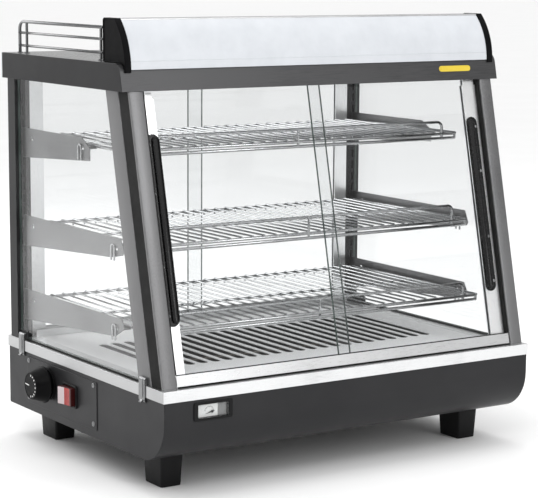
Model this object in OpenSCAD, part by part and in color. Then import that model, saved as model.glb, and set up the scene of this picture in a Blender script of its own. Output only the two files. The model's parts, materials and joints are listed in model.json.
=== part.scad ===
// Countertop hot food display case: heated base, glazed hood with a leaning front,
// sliding glass doors front and back, three wire shelves and a lit header on the roof.
// Millimetres. +X to the right seen from the front, +Y to the back, +Z up.

/* [Overall] */
// width of the stainless rim of the base
rim_width = 664; // [600:1:720]
// depth of the stainless rim of the base
rim_depth = 492.6; // [440:1:540]
// height of the floor of the base above the counter
foot_height = 52; // [30:1:80]
// height of the painted base body
base_height = 92.5; // [80:0.5:120]
// height of the stainless rim band
rim_height = 16.8; // [12:0.1:24]
// level of the lower edge of the roof
roof_level = 572; // [520:1:620]
// height of the roof band
roof_height = 39.2; // [30:0.1:50]
// width of the roof band
roof_width = 678.6; // [620:0.1:740]
// steel sheet thickness of the casings
sheet = 1.2; // [0.8:0.1:2]

/* [Base] */
// radius of the curve under the front of the base
front_curve = 63; // [40:1:80]
// foot size across
foot_x = 33.6; // [20:0.1:50]
// foot size front to back
foot_y = 48; // [20:1:70]
// number of long slots in the deck
deck_slots = 23; // [15:1:35]
// spacing of the deck slots
slot_pitch = 22.1; // [14:0.1:30]
// width of a deck slot
slot_width = 14.5; // [4:0.5:16]
// length of a deck slot
slot_length = 205; // [120:1:320]
// diameter of the heating element tube
element_d = 8; // [6:0.5:10]

/* [Controls] */
// length of the control plate
plate_length = 229; // [160:1:260]
// height of the control plate
plate_height = 73; // [50:1:85]
// diameter of the foot of the thermostat knob, against the plate
knob_foot_d = 50; // [40:1:56]
// diameter of the widest ring of the knob
knob_ring_d = 58; // [44:1:60]
// diameter of the front face of the knob
knob_face_d = 41; // [36:1:48]
// how far the knob stands out of the control plate
knob_reach = 31.5; // [24:0.1:38]
// diameter of the thermostat spindle
spindle_d = 6; // [5:0.5:8]
// running clearance of spindle and rocker pins, radial
running_gap = 0.05; // [0.02:0.01:0.1]
// length of the rocker switch frame
switch_length = 46; // [44:1:52]
// height of the rocker switch frame
switch_height = 35; // [34:1:44]
// tilt of the rocker each way
rocker_tilt = 10; // [6:1:14]
// width of the thermometer frame
gauge_width = 64.7; // [50:0.1:80]
// height of the thermometer frame
gauge_height = 27; // [20:0.1:30]

/* [Glazing] */
// lean of the front from vertical, degrees
front_lean = 12.8; // [5:0.1:25]
// setback of the pillar foot from the front of the rim
pillar_setback = 9; // [4:0.1:20]
// width of the front pillar face
pillar_face = 22.7; // [16:0.1:32]
// outside half width over the pillars
pillar_outside = 327.5; // [280:0.1:340]
// depth of the front pillar side
pillar_depth = 67; // [45:1:80]
// glass thickness
glass = 4; // [3:0.5:6]
// outside of the rear posts, from the middle of the case
post_outside = 331; // [329:0.1:333]
// width of the rear posts
post_width = 25.6; // [22:0.1:27]
// depth of the rear posts
post_depth = 24; // [20:0.5:28]
// spacing of the shelf slots in the rear posts
post_slot_pitch = 19.6; // [12:0.1:30]

/* [Doors] */
// overlap of the two doors of a pair
door_overlap = 32; // [20:1:50]
// width of the bright door stile
stile_width = 26; // [18:0.5:34]
// width of the door handle
handle_width = 20; // [14:0.5:24]
// length of the door handle
handle_length = 276; // [180:1:320]
// depth of the outer front door glass behind the pillar face
outer_door_set = 11; // [9:0.5:14]
// depth of the inner front door glass behind the pillar face
inner_door_set = 26; // [24:0.5:30]

/* [Shelves] */
// level of the wires of the top shelf
shelf_1_level = 483; // [440:1:510]
// level of the wires of the middle shelf
shelf_2_level = 346; // [320:1:400]
// level of the wires of the bottom shelf
shelf_3_level = 228.5; // [200:0.5:280]
// front edge of the top shelf, measured forward of the middle
shelf_1_front = 85; // [60:1:110]
// front edge of the middle shelf
shelf_2_front = 116; // [90:1:140]
// front edge of the bottom shelf
shelf_3_front = 148; // [120:1:160]
// rear edge of all shelves, measured behind the middle
shelf_rear = 188; // [150:1:195]
// half width of a shelf
shelf_half = 304; // [280:1:308]
// number of front-to-back wires in a shelf
shelf_wires = 29; // [21:2:41]
// diameter of the front-to-back wires
wire_d = 3; // [2:0.5:5]
// diameter of the frame bars of a shelf
bar_d = 5; // [4:0.5:7]

/* [Header] */
// outside half width of the header end caps
header_half = 332.2; // [280:0.1:338]
// thickness of a header end cap
header_cap = 10.4; // [6:0.1:16]
// radius of the curved front of the header
header_radius = 101.9; // [80:0.1:120]
// top of the header above the counter
header_top = 673.6; // [640:0.1:720]
// diameter of the header lamp tube
lamp_d = 16; // [12:1:26]

/* [Gallery] */
// diameter of the gallery rail wire
rail_d = 5; // [4:0.5:8]
// height of the gallery rail above the counter
rail_top = 659; // [640:1:680]
// bend radius of the gallery rail
rail_bend = 12; // [8:1:20]

/* [Hidden] */

$fn = 48;
rim_x = rim_width / 2;
rim_y = rim_depth / 2;
z0 = foot_height;
z1 = z0 + base_height;
z2 = z1 + rim_height;
base_x = rim_x - 1.5;
base_y = rim_y - 1;
zr0 = roof_level;
zr1 = roof_level + roof_height;
roof_x = roof_width / 2;
y_face = -rim_y + pillar_setback;
st = sin(front_lean);
ct = cos(front_lean);
tt = tan(front_lean);
plate_x = -base_x - sheet;
plate_y0 = -49;
plate_z0 = 65;
knob_y = 106.5;
knob_z = 107.3;
switch_y = 34;
switch_z = 103.5;
rocker_x = -328;
gauge_x = -250.4;
gauge_z = 126.5;
gauge_front = -base_y - 2.2;
needle_x = -250;
needle_z = 124;
post_in = post_outside - post_width;
post_y1 = 236.5;
post_y0 = post_y1 - post_depth;
post_foot_y = 186;
track_half = pillar_outside - pillar_face - 1.6;
track_y0 = 203;
door_half = 299.8;
stile_edge = 301.2;
levels = [shelf_1_level, shelf_2_level, shelf_3_level];
fronts = [shelf_1_front, shelf_2_front, shelf_3_front];
guards = [18, 24, 20];
hooks = [-20, 78, 80];
plate_top = 12;
feet_x = 274.5;
feet_y = [-145.5, 186.5];
gland_x = 262;
gland_z = 84;
gland_out = 9;
// the origin is the middle of the footprint of the whole case, on the counter
shift_x = (-plate_x + knob_reach - roof_x) / 2;
shift_y = (-gauge_front - base_y - gland_out) / 2;

module place() translate([shift_x, shift_y, 0]) children();
module box(p, q) translate(p) cube(q - p);
module side_prism(xa, xb) translate([xa, 0, 0]) rotate([90, 0, 90]) linear_extrude(xb - xa) children();
module lean() translate([0, y_face, z2]) rotate([90 - front_lean, 0, 0]) children();
module bar_x(xa, xb, y, z, d, f = 24) translate([xa, y, z]) rotate([0, 90, 0]) cylinder(d = d,
    h = xb - xa, $fn = f);
module bar_y(x, ya, yb, z, d, f = 24) translate([x, ya, z]) rotate([-90, 0, 0]) cylinder(d = d,
    h = yb - ya, $fn = f);
module bar_z(x, y, za, zb, d, f = 24) translate([x, y, za]) cylinder(d = d, h = zb - za, $fn = f);
module stadium(w, l) {
  translate([-w / 2, -l / 2 + w / 2]) square([w, l - w]);
  translate([0, l / 2 - w / 2]) circle(d = w);
  translate([0, -l / 2 + w / 2]) circle(d = w);
}
// depth on the leaning front: horizontal place of a plane set n behind the pillar face
function lean_y(n, z) = y_face + n / ct + (z - z2) * tt;

// outline of the base seen from the side, inset by e
function base_outline(e) = concat(
  [[base_y - e, z1], [base_y - e, z0 + e]],
  [for (i = [0:12]) let (a = 270 - i * 7.5)
    [-base_y + front_curve + (front_curve - e) * cos(a), z0 + front_curve + (front_curve - e) * sin(a)]],
  [[-base_y + e, z1]]);

module base_shell() color([0.24, 0.24, 0.25]) place() difference() {
  side_prism(-base_x + sheet, base_x - sheet) polygon(base_outline(0));
  side_prism(-base_x, base_x) polygon([for (p = base_outline(sheet)) p[1] == z1 ? [p[0], z1 + 5] : p]);
  box([gauge_x - 30, -base_y - 3, gauge_z - 11.2], [gauge_x + 30, -base_y + 20, gauge_z + 11.2]);
  translate([gland_x, base_y - 10, gland_z]) rotate([-90, 0, 0]) cylinder(r = 8.1, h = 20);
  for (x = [-feet_x, feet_x]) for (y = feet_y) translate([x, y, z0 - 5]) cylinder(d = 6.3, h = 15);
  for (i = [-4:4]) for (x = [-120, 60]) box([x + i * 12 - 2, base_y - 5, 76], [x + i * 12 + 2,
      base_y + 5, 122]);
}

module base_side() difference() {
  side_prism(base_x - sheet, base_x) polygon(base_outline(0));
  for (y = [-187, 197]) box([base_x - 5, y - 8.9, 135.4], [base_x + 5, y + 8.9, 138]);
}

module base_side_right() color([0.24, 0.24, 0.25]) place() base_side();

module base_side_left() color([0.24, 0.24, 0.25]) place() difference() {
  mirror([1, 0, 0]) base_side();
  translate([-base_x - 5, knob_y, knob_z]) rotate([0, 90, 0]) cylinder(r = 6, h = 12);
  box([-base_x - 5, switch_y - 21.2, switch_z - 16.6], [-base_x + 5, switch_y + 21.2, switch_z + 16.6]);
}

// a foot tapers in both directions: two wedge outlines crossed
module foot() {
  tx = foot_x / 2;
  ty = foot_y / 2;
  intersection() {
    rotate([90, 0, 0]) translate([0, 0, -50]) linear_extrude(100)
      polygon([[-tx, 0], [tx, 0], [tx + 2, foot_height], [-tx - 2, foot_height]]);
    side_prism(-50, 50) polygon([[-ty, 0], [ty, 0], [ty + 3, foot_height], [-ty - 3, foot_height]]);
  }
}

module feet() color([0.05, 0.05, 0.055]) place()
  for (x = [-feet_x, feet_x]) for (y = feet_y) translate([x, y, 0]) {
    foot();
    cylinder(d = 6, h = foot_height + 8);
  }

module rim_frame() color([0.82, 0.83, 0.84]) place() difference() {
  union() {
    box([-rim_x, -rim_y, z1], [rim_x, rim_y, z2]);
  }
  box([-rim_x + sheet, -rim_y + sheet, z1 + sheet], [rim_x - sheet, rim_y - sheet, z2 - 2 * sheet]);
  box([-rim_x + 14, -rim_y + 14, z1 - 5], [rim_x - 14, rim_y - 14, z1 + 5]);
  box([-288, -186, z2 - 6], [288, 193, z2 + 5]);
  box([-298, -196, z2 - sheet], [298, 203, z2 + 5]);
  difference() {
    box([-rim_x + sheet, -rim_y + sheet, z2 - 6], [rim_x - sheet, rim_y - sheet, z2 - sheet]);
    box([-308, -206, z2 - 7], [308, 213, z2]);
  }
}

module deck_plate() color([0.85, 0.86, 0.87]) place() difference() {
  box([-297.7, -195.7, z2 - sheet], [297.7, 202.7, z2]);
  for (i = [0:deck_slots - 1])
    translate([(i - (deck_slots - 1) / 2) * slot_pitch, 100 - slot_length / 2, z2 - 5])
      linear_extrude(10) stadium(slot_width, slot_length);
}

module heat_reflector() color([0.7, 0.71, 0.72]) place() {
  difference() {
    box([-285, -178, 92], [285, 186, 140]);
    box([-284, -177, 93], [284, 185, 141]);
    for (y = [-100, -36, 36, 100]) translate([-290, y + 4, 116]) rotate([0, 90, 0])
        cylinder(d = element_d + 1, h = 12);
  }
  for (x = [-150, 150]) for (y = [-64, 72]) difference() {
    box([x - 2, y - 50, 92.5], [x + 2, y + 50, 112.5]);
    box([x - 3, y - 26, 91], [x + 3, y + 26, 106]);
  }
}

module element_loop() {
  rotate([0, 0, -90]) rotate_extrude(angle = 180) translate([32, 0]) circle(d = element_d, $fn = 24);
  for (y = [-32, 32]) translate([-515, y, 0]) rotate([0, 90, 0]) cylinder(d = element_d, h = 515.01,
      $fn = 24);
}

module heating_elements() color([0.33, 0.31, 0.3]) place()
  for (y = [-64, 72]) translate([215, y, 112.5 + element_d / 2]) element_loop();

module control_plate() color([0.27, 0.27, 0.28]) place() difference() {
  box([plate_x, plate_y0, plate_z0], [-base_x, plate_y0 + plate_length, plate_z0 + plate_height]);
  translate([plate_x - 5, knob_y, knob_z]) rotate([0, 90, 0]) cylinder(r = 5.2, h = 12);
  box([plate_x - 5, switch_y - 21.2, switch_z - 16.6], [plate_x + 5, switch_y + 21.2, switch_z + 16.6]);
  for (y = [-39, 174]) for (z = [73.5, 132]) translate([plate_x - 5, y, z]) rotate([0, 90, 0])
      cylinder(r = 2, h = 12);
}

module panel_screws() color([0.8, 0.8, 0.8]) place()
  for (y = [-39, 174]) for (z = [73.5, 132]) translate([plate_x, y, z]) rotate([0, -90, 0]) difference() {
    union() {
      cylinder(r1 = 3.6, r2 = 2.6, h = 1.6);
      translate([0, 0, -sheet]) cylinder(r = 1.9, h = sheet + 0.4);
    }
    for (a = [0, 90]) rotate([0, 0, a]) translate([-1.9, -0.35, 0.8]) cube([3.8, 0.7, 2]);
  }

module thermostat_body() color([0.75, 0.72, 0.66]) place() difference() {
  union() {
    box([-base_x + sheet, knob_y - 18, knob_z - 18], [-base_x + 30, knob_y + 18, knob_z + 18]);
    translate([-base_x + 4, knob_y, knob_z]) rotate([0, -90, 0]) cylinder(r = 5, h = 4 + sheet);
  }
  translate([-base_x + 22, knob_y, knob_z]) rotate([0, -90, 0])
      cylinder(d = spindle_d + 2 * running_gap, h = 40);
}

module thermostat_spindle() color([0.72, 0.72, 0.74]) place() difference() {
  translate([-base_x + 21, knob_y, knob_z]) rotate([0, -90, 0]) cylinder(d = spindle_d,
      h = 21 + sheet + 15);
  box([plate_x - 20, knob_y - 5, knob_z + spindle_d / 2 - 1.2], [plate_x - 5, knob_y + 5, knob_z + 6]);
}

module thermostat_knob() color([0.045, 0.045, 0.05]) place()
  translate([plate_x - 0.8, knob_y, knob_z]) rotate([0, -90, 0]) {
    h = knob_reach - 0.8;
    rf = knob_face_d / 2;
    rk = knob_ring_d / 2;
    difference() {
      union() {
        cylinder(d = knob_foot_d, h = 2.4);
        translate([0, 0, 2.3]) cylinder(r1 = knob_foot_d / 2 - 1, r2 = rk, h = 6.3);
        translate([0, 0, 8.5]) cylinder(r1 = rk, r2 = rk - 0.6, h = 1.9);
        translate([0, 0, 10.3]) cylinder(r1 = rk - 1.6, r2 = rf + 0.8, h = h - 11.3);
        translate([0, 0, h - 1.05]) cylinder(r1 = rf + 0.8, r2 = rf, h = 1.05);
      }
      difference() {
        translate([0, 0, -1]) cylinder(r = rf - 3, h = h - 3);
        translate([0, 0, -2]) cylinder(r = 6.5, h = h);
      }
      difference() {
        translate([0, 0, -1]) cylinder(d = spindle_d + 0.1, h = 15.3);
        translate([spindle_d / 2 - 1.15, -5, 4.2]) cube([4, 10, 14]);
      }
      translate([-0.8, 3, h - 0.5]) cube([1.6, rf - 5, 2]);
    }
  }

module switch_housing() color([0.05, 0.05, 0.055]) place() difference() {
  union() {
    box([plate_x - 3, switch_y - switch_length / 2, switch_z - switch_height / 2],
        [plate_x, switch_y + switch_length / 2, switch_z + switch_height / 2]);
    box([plate_x - 0.5, switch_y - 21, switch_z - 16.4], [-302, switch_y + 21, switch_z + 16.4]);
  }
  box([plate_x - 9, switch_y - 19.5, switch_z - 14], [-315, switch_y + 19.5, switch_z + 14]);
  bar_z(rocker_x, switch_y, switch_z - 15.7, switch_z + 15.7, 4 + 2 * running_gap, 48);
}

module rocker() color([0.62, 0.06, 0.06]) place() translate([rocker_x, switch_y, switch_z])
  rotate([0, 0, rocker_tilt]) {
    translate([0, 0, -13.5]) linear_extrude(27)
      polygon([[6, -8], [6, 8], [0, 16.5], [-16.4, 16.5], [-14.6, 0], [-16.4, -16.5], [0, -16.5]]);
    translate([0, 0, -15.5]) cylinder(d = 4, h = 31, $fn = 48);
  }

module thermometer_case() color([0.05, 0.05, 0.055]) place() difference() {
  union() {
    box([gauge_x - gauge_width / 2, gauge_front, gauge_z - gauge_height / 2],
        [gauge_x + gauge_width / 2, -base_y - 0.05, gauge_z + gauge_height / 2]);
    box([gauge_x - 29.8, -base_y - 0.1, gauge_z - 11], [gauge_x + 29.8, -base_y + 16, gauge_z + 11]);
  }
  box([gauge_x - 25, gauge_front - 5, gauge_z - 9.6], [gauge_x + 25, -base_y + 5.5, gauge_z + 9.6]);
  translate([needle_x, -base_y + 5, needle_z]) rotate([-90, 0, 0]) cylinder(r = 1 + running_gap, h = 7);
}

module thermometer_dial() color([0.93, 0.93, 0.92]) place() difference() {
  box([gauge_x - 24.9, -base_y + 4.7, gauge_z - 9.5], [gauge_x + 24.9, -base_y + 5.5, gauge_z + 9.5]);
  translate([needle_x, -base_y, needle_z]) rotate([-90, 0, 0]) cylinder(r = 1.4, h = 9);
}

module thermometer_needle() color([0.06, 0.06, 0.06]) place() translate([needle_x, -base_y, needle_z])
  rotate([-90, 0, 0]) {
    translate([0, 0, 2.6]) cylinder(r = 1, h = 7.4);
    translate([0, 0, 2.5]) cylinder(r = 2, h = 0.9);
    translate([0, 0, 2.6]) linear_extrude(0.6)
      rotate([0, 0, 167]) polygon([[-3.5, -0.7], [1, -0.8], [11.3, 0], [1, 0.8], [-3.5, 0.7]]);
  }

module thermometer_lens() color([0.85, 0.9, 0.92, 0.35]) place()
  box([gauge_x - 24.9, gauge_front + 0.3, gauge_z - 9.5], [gauge_x + 24.9, gauge_front + 1.5,
      gauge_z + 9.5]);

module terminal_block() color([0.85, 0.84, 0.8]) place() difference() {
  box([200, 205, z0 + sheet], [240, 225, z0 + sheet + 18]);
  for (x = [207, 220, 233]) bar_z(x, 215, z0 + 10, z0 + 30, 6, 24);
}

module cable_gland() color([0.07, 0.07, 0.075]) place() translate([gland_x, base_y, gland_z])
    rotate([-90, 0, 0])
  difference() {
    union() {
      cylinder(d = 24, h = 4.5, $fn = 6);
      translate([0, 0, -14]) cylinder(r = 8, h = 15);
      translate([0, 0, -6]) cylinder(d = 24, h = 6 - sheet, $fn = 6);
      translate([0, 0, 4]) cylinder(r = 9, h = gland_out - 4);
    }
    translate([0, 0, -20]) cylinder(r = 4.2, h = 40);
  }

// section of a front pillar in plan on the leaning plane: x outward, depth behind the face negative
module pillar_section() {
  xo = pillar_outside;
  polygon([[xo - pillar_face, 0], [xo, 0], [xo, -4], [xo - 1.7, -4], [xo - 1.7, -31.5], [xo, -31.5],
    [xo, -pillar_depth], [xo - 1.5, -pillar_depth], [xo - 1.5, -33.2], [xo - 7.4, -33.2], [xo - 7.4, -46],
    [xo - 9, -46], [xo - 9, -31.7], [xo - 3.2, -31.7], [xo - 3.2, -1.5], [xo - pillar_face + 1.5, -1.5],
    [xo - pillar_face + 1.5, -7], [xo - pillar_face, -7]]);
}

module front_pillar() difference() {
  intersection() {
    lean() translate([0, 480, 0]) rotate([90, 0, 0]) linear_extrude(500) pillar_section();
    box([200, -rim_y, z2], [rim_x + 2, rim_y, zr0 + 28]);
  }
  box([pillar_outside - 1.55, -187 - 8.9, z2 + 9.2], [pillar_outside + 5, -187 + 8.9, z2 + 12]);
}

module front_pillar_right() color([0.42, 0.42, 0.43]) place() front_pillar();
module front_pillar_left() color([0.42, 0.42, 0.43]) place() mirror([1, 0, 0]) front_pillar();

// rear post: slotted square tube with a foot plate that the rear clip hooks into
module rear_post() difference() {
  union() {
    box([post_in, post_y0, z2], [post_outside, post_y1, zr0 + 28]);
    box([pillar_outside - 1.5, post_foot_y, z2], [pillar_outside, post_y0 + 1, z2 + 14]);
  }
  box([post_in + 1.5, post_y0 + 1.5, z2 - 5], [post_outside - 1.5, post_y1 - 1.5, zr0 + 40]);
  for (i = [-15:3]) box([315.4, post_y0 - 5, shelf_1_level + i * post_slot_pitch - 8],
                        [319.1, post_y0 + 5, shelf_1_level + i * post_slot_pitch + 5]);
  box([pillar_outside - 1.55, 197 - 8.9, z2 + 9.2], [pillar_outside + 5, 197 + 8.9, z2 + 12]);
}

module rear_post_right() color([0.3, 0.3, 0.31]) place() rear_post();
module rear_post_left() color([0.3, 0.3, 0.31]) place() mirror([1, 0, 0]) rear_post();

module side_glass() side_prism(pillar_outside - 1.6 - glass, pillar_outside - 1.6)
  polygon([[lean_y(34, z2 + 2.2), z2 + 2.2], [post_y0 - 0.5, z2 + 2.2], [post_y0 - 0.5, zr0 + 8],
    [lean_y(34, zr0 + 8), zr0 + 8]]);

module side_glass_right() color([0.78, 0.86, 0.84, 0.3]) place() side_glass();
module side_glass_left() color([0.78, 0.86, 0.84, 0.3]) place() mirror([1, 0, 0]) side_glass();

// black seals: under the side glass, in the recess of each pillar, and at the door jambs
module seal_set() {
  xo = pillar_outside;
  difference() {
    side_prism(xo - 6.9, xo - 0.6) polygon([[lean_y(71, z2), z2], [post_foot_y - 0.5, z2],
        [post_foot_y - 0.5, z2 + 2.7], [lean_y(71, z2 + 2.7), z2 + 2.7]]);
    side_prism(xo - 1.65 - glass, xo - 1.55) polygon([[-300, z2 + 2.1], [300, z2 + 2.1], [300,
        z2 + 20], [-300, z2 + 20]]);
    box([xo - 1.55, -187 - 8.9, z2 + 9.2], [xo + 5, -187 + 8.9, z2 + 12]);
  }
  intersection() {
    lean() translate([0, 480, 0]) rotate([90, 0, 0]) linear_extrude(500) translate([xo - 1.6, -31])
        square([1, 26.5]);
    box([200, -rim_y, z2 + 0.2], [rim_x + 2, rim_y, zr0 + 7]);
  }
  intersection() {
    lean() translate([0, 480, 0]) rotate([90, 0, 0]) linear_extrude(500)
      translate([xo - pillar_face - 3.2, -37]) square([3, 34]);
    box([200, -rim_y, z2 + 18], [rim_x + 2, rim_y, zr0 + 1.2]);
  }
}

module glass_seals() color([0.04, 0.04, 0.045]) place() {
  seal_set();
  mirror([1, 0, 0]) seal_set();
}

// slanted fin of a door track: depth range behind the face, between two levels
module fin(na, nb, za, zb) polygon([[lean_y(na, za), za], [lean_y(nb, za), za], [lean_y(nb, zb), zb],
    [lean_y(na, zb), zb]]);

module front_bottom_track() color([0.8, 0.81, 0.82]) place() side_prism(-track_half, track_half) {
  fin(1.6, 3, z2, z2 + 17.5);
  fin(1.6, 36, z2, z2 + 1.3);
  fin(18.9, 20.6, z2 + 0.5, z2 + 11);
  fin(34.4, 36, z2 + 0.5, z2 + 11);
}

module front_top_track() color([0.62, 0.63, 0.64]) place() side_prism(-track_half - 1.4, track_half + 1.4) {
  fin(1.5, 38, zr0 + 9.2, zr0 + 10.6);
  fin(4.5, 6, zr0 + 1.5, zr0 + 9.6);
  fin(18.9, 20.6, zr0 + 1.5, zr0 + 9.6);
  fin(34.4, 36, zr0 + 1.5, zr0 + 9.6);
}

rin = 209.5;
rout = 224;

module rear_bottom_track() color([0.62, 0.63, 0.64]) place() {
  box([-track_half, track_y0, z2], [track_half, post_y1, z2 + 1.3]);
  box([-track_half, track_y0, z2 + 0.5], [track_half, track_y0 + 1.5, z2 + 11]);
  box([-track_half, 217, z2 + 0.5], [track_half, 218.6, z2 + 11]);
  box([-track_half, post_y1 - 1.5, z2 + 0.5], [track_half, post_y1, z2 + 11]);
}

module rear_top_track() color([0.62, 0.63, 0.64]) place() {
  box([-track_half, track_y0, zr0 + 9.2], [track_half, post_y1, zr0 + 10.6]);
  box([-track_half, track_y0, zr0 + 1.5], [track_half, track_y0 + 1.5, zr0 + 9.6]);
  box([-track_half, 217, zr0 + 1.5], [track_half, 218.6, zr0 + 9.6]);
  box([-track_half, post_y1 - 1.5, zr0 + 1.5], [track_half, post_y1, zr0 + 9.6]);
}

// roof outline from the side: leaning fascia in line with the pillars, rolled over to the flat top
function roof_curve(e) = [[-121, zr1 - e], [-129.5 + e * 0.25, zr1 - 1 - e * 0.95],
  [-135 + e * 0.65, zr1 - 3.5 - e * 0.75], [-138 + e * 0.93, zr1 - 6.9 - e * 0.35],
  [lean_y(-1.6, zr0 + 29) + e, zr0 + 29 - e * 0.1]];
function roof_outline(e) = concat([[238.2 - e, zr0], [238.2 - e, zr1 - e]], roof_curve(e),
  [[lean_y(-1.6, zr0) + e, zr0]]);

module roof_cap() color([0.3, 0.3, 0.31]) place() {
  difference() {
    side_prism(-roof_x, roof_x) polygon(roof_outline(0));
    side_prism(-roof_x + sheet, roof_x - sheet) polygon([for (p = roof_outline(sheet))
        p[1] == zr0 ? [p[0] - (p[0] < 0 ? 5 * tt : 0), zr0 - 5] : p]);
  }
  for (s = [0, 1]) mirror([s, 0, 0]) {
    side_prism(pillar_outside + 0.6, roof_x - sheet / 2) polygon([[post_y0 - 0.6, zr0],
      [post_y0 - 0.6, zr0 + sheet], [lean_y(-1, zr0 + sheet), zr0 + sheet], [lean_y(-1, zr0), zr0]]);
    box([post_outside + 0.6, post_y0 - 1, zr0], [roof_x - sheet / 2, 237.4, zr0 + sheet]);
  }
}

module roof_liner() color([0.78, 0.79, 0.8]) place() difference() {
  box([-pillar_outside - 5, lean_y(38.5, zr0 + 9.9), zr0 + 9.2], [pillar_outside + 5, track_y0 - 0.3,
      zr0 + 10.4]);
  for (s = [-1, 1]) translate([s * (pillar_outside - 1), 0, 0]) box([-12, -200, zr0], [12, -73, zr0 + 20]);
}

module badge() color([0.82, 0.7, 0.12]) place() lean()
  translate([256, (zr0 + 17.5 - z2) / ct, 1.6]) linear_extrude(0.9) rotate([0, 0, 90]) stadium(9, 62);

hy = -40.2;
hz = 600.6;
header_rear = -77;
header_toe = 598;
// the end caps lap a little way over the front of the roof
module header_outline() polygon(concat(
  [[header_rear, zr1 + 0.1], [header_rear, header_top - 3], [header_rear - 3, header_top]],
  [for (i = [0:16]) let (a = 134.25 + i * 47.21 / 16)
    [hy + header_radius * cos(a), hz + header_radius * sin(a)]],
  [[lean_y(-1.6, header_toe) - 0.1, header_toe]],
  [for (i = [4:-1:0]) roof_curve(-0.1)[i]]));

module header_end() side_prism(header_half - header_cap, header_half) header_outline();
module header_cap_right() color([0.04, 0.04, 0.045]) place() header_end();
module header_cap_left() color([0.04, 0.04, 0.045]) place() mirror([1, 0, 0]) header_end();

module header_diffuser() color([0.93, 0.94, 0.96]) place() intersection() {
  translate([-header_half + header_cap + 0.1, hy, hz]) rotate([0, 90, 0]) difference() {
    cylinder(r = header_radius - 2, h = 2 * (header_half - header_cap) - 0.2, $fn = 128);
    translate([0, 0, -5]) cylinder(r = header_radius - 3.2, h = 700, $fn = 128);
  }
  side_prism(-400, 400) polygon([[hy, hz], [-120, zr0 + 30.2], [-160, zr0 + 30.2], [-160, 672],
    [-104, 672]]);
}

module header_back() color([0.1, 0.1, 0.105]) place() difference() {
  union() {
    side_prism(-header_half + header_cap + 0.1, header_half - header_cap - 0.1)
      polygon([[header_rear, zr1 + 0.05], [header_rear, 672.6], [-107.8, 672.6], [-107.8, 671.4],
        [header_rear - 1.2, 671.4], [header_rear - 1.2, zr1 + 1.2], [header_rear - 12, zr1 + 1.2],
        [header_rear - 12, zr1 + 0.05]]);
    for (x = [-292, 286]) box([x, -120, zr1 + 0.1], [x + 6, header_rear - 1, 655]);
  }
  bar_x(-300, 300, -104, 640, lamp_d + 0.4, 48);
}

module header_lamp() color([0.95, 0.95, 0.93]) place() bar_x(-298, 298, -104, 640, lamp_d, 48);

module rail() {
  y0 = -46;
  y1 = 217;
  zt = rail_top;
  r = rail_bend;
  translate([318, 0, 0]) {
    bar_z(0, y1, zr1, zt - r, rail_d, 24);
    for (y = [y0, y1 - 24]) bar_z(0, y, zr1, zt, rail_d - 0.8, 24);
    bar_y(0, y0 - 4.5, y1 - r, zt, rail_d, 24);
    for (z = [622.5, 642]) bar_y(0, y0 - 4.5, y1, z, rail_d - 1, 24);
    translate([0, y1 - r, zt - r]) rotate([0, 0, 90]) rotate([90, 0, 0])
      rotate_extrude(angle = 90, $fn = 48) translate([r, 0]) circle(d = rail_d, $fn = 24);
  }
}

module gallery_rail_right() color([0.75, 0.76, 0.78]) place() rail();
module gallery_rail_left() color([0.75, 0.76, 0.78]) place() mirror([1, 0, 0]) rail();

// tapered bracket plates, as outlines seen from the side
function bracket_outline(i) =
  i == 0 ? [[post_y0, 495], [17, 495], [-8, 481], [-8, 462], [post_y0, 448.5]] :
  i == 1 ? [[post_y0, 358], [-100, 358], [-109, 339], [-106, 334], [-72, 327.5], [post_y0, 309]] :
           [[post_y0, 240.5], [-102, 240.5], [-110, 227], [-82, 212], [post_y0, 191]];

module bracket(i) {
  L = levels[i];
  f = i == 0 ? -4 : -104;
  difference() {
    union() {
      side_prism(316.5, 318) polygon(bracket_outline(i));
      box([303, f, L - bar_d / 2 - 1.5], [317, post_y0 - 6, L - bar_d / 2]);
      for (k = [-1, 1]) {
        zz = L + (k == 1 ? 0 : -post_slot_pitch) + tab_fix(i);
        side_prism(316.5, 318) polygon([[post_y0 - 1, zz + 2], [post_y0 + 4.4, zz + 2], [post_y0 + 4.4,
            zz - 10],
          [post_y0 + 1.9, zz - 10], [post_y0 + 1.9, zz - 6], [post_y0 - 1, zz - 6]]);
      }
    }
    for (y = [i == 0 ? 14 : -88, 181]) translate([310, y, L - 3]) rotate([0, 90, 0]) cylinder(r = 4,
        h = 20, $fn = 32);
    box([302, -hooks[i] - 5, L - 12], [315, -hooks[i] + 5, L]);
  }
}
// the post slots follow the top shelf, so the lower tabs move to the nearest slot
function tab_fix(i) = round((levels[i] - levels[0]) / post_slot_pitch)
    * post_slot_pitch - (levels[i] - levels[0]);

module shelf_brackets_right() color([0.66, 0.67, 0.68]) place() for (i = [0:2]) bracket(i);
module shelf_brackets_left() color([0.66, 0.67, 0.68]) place() mirror([1, 0, 0]) for (i = [0:2])
    bracket(i);

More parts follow.
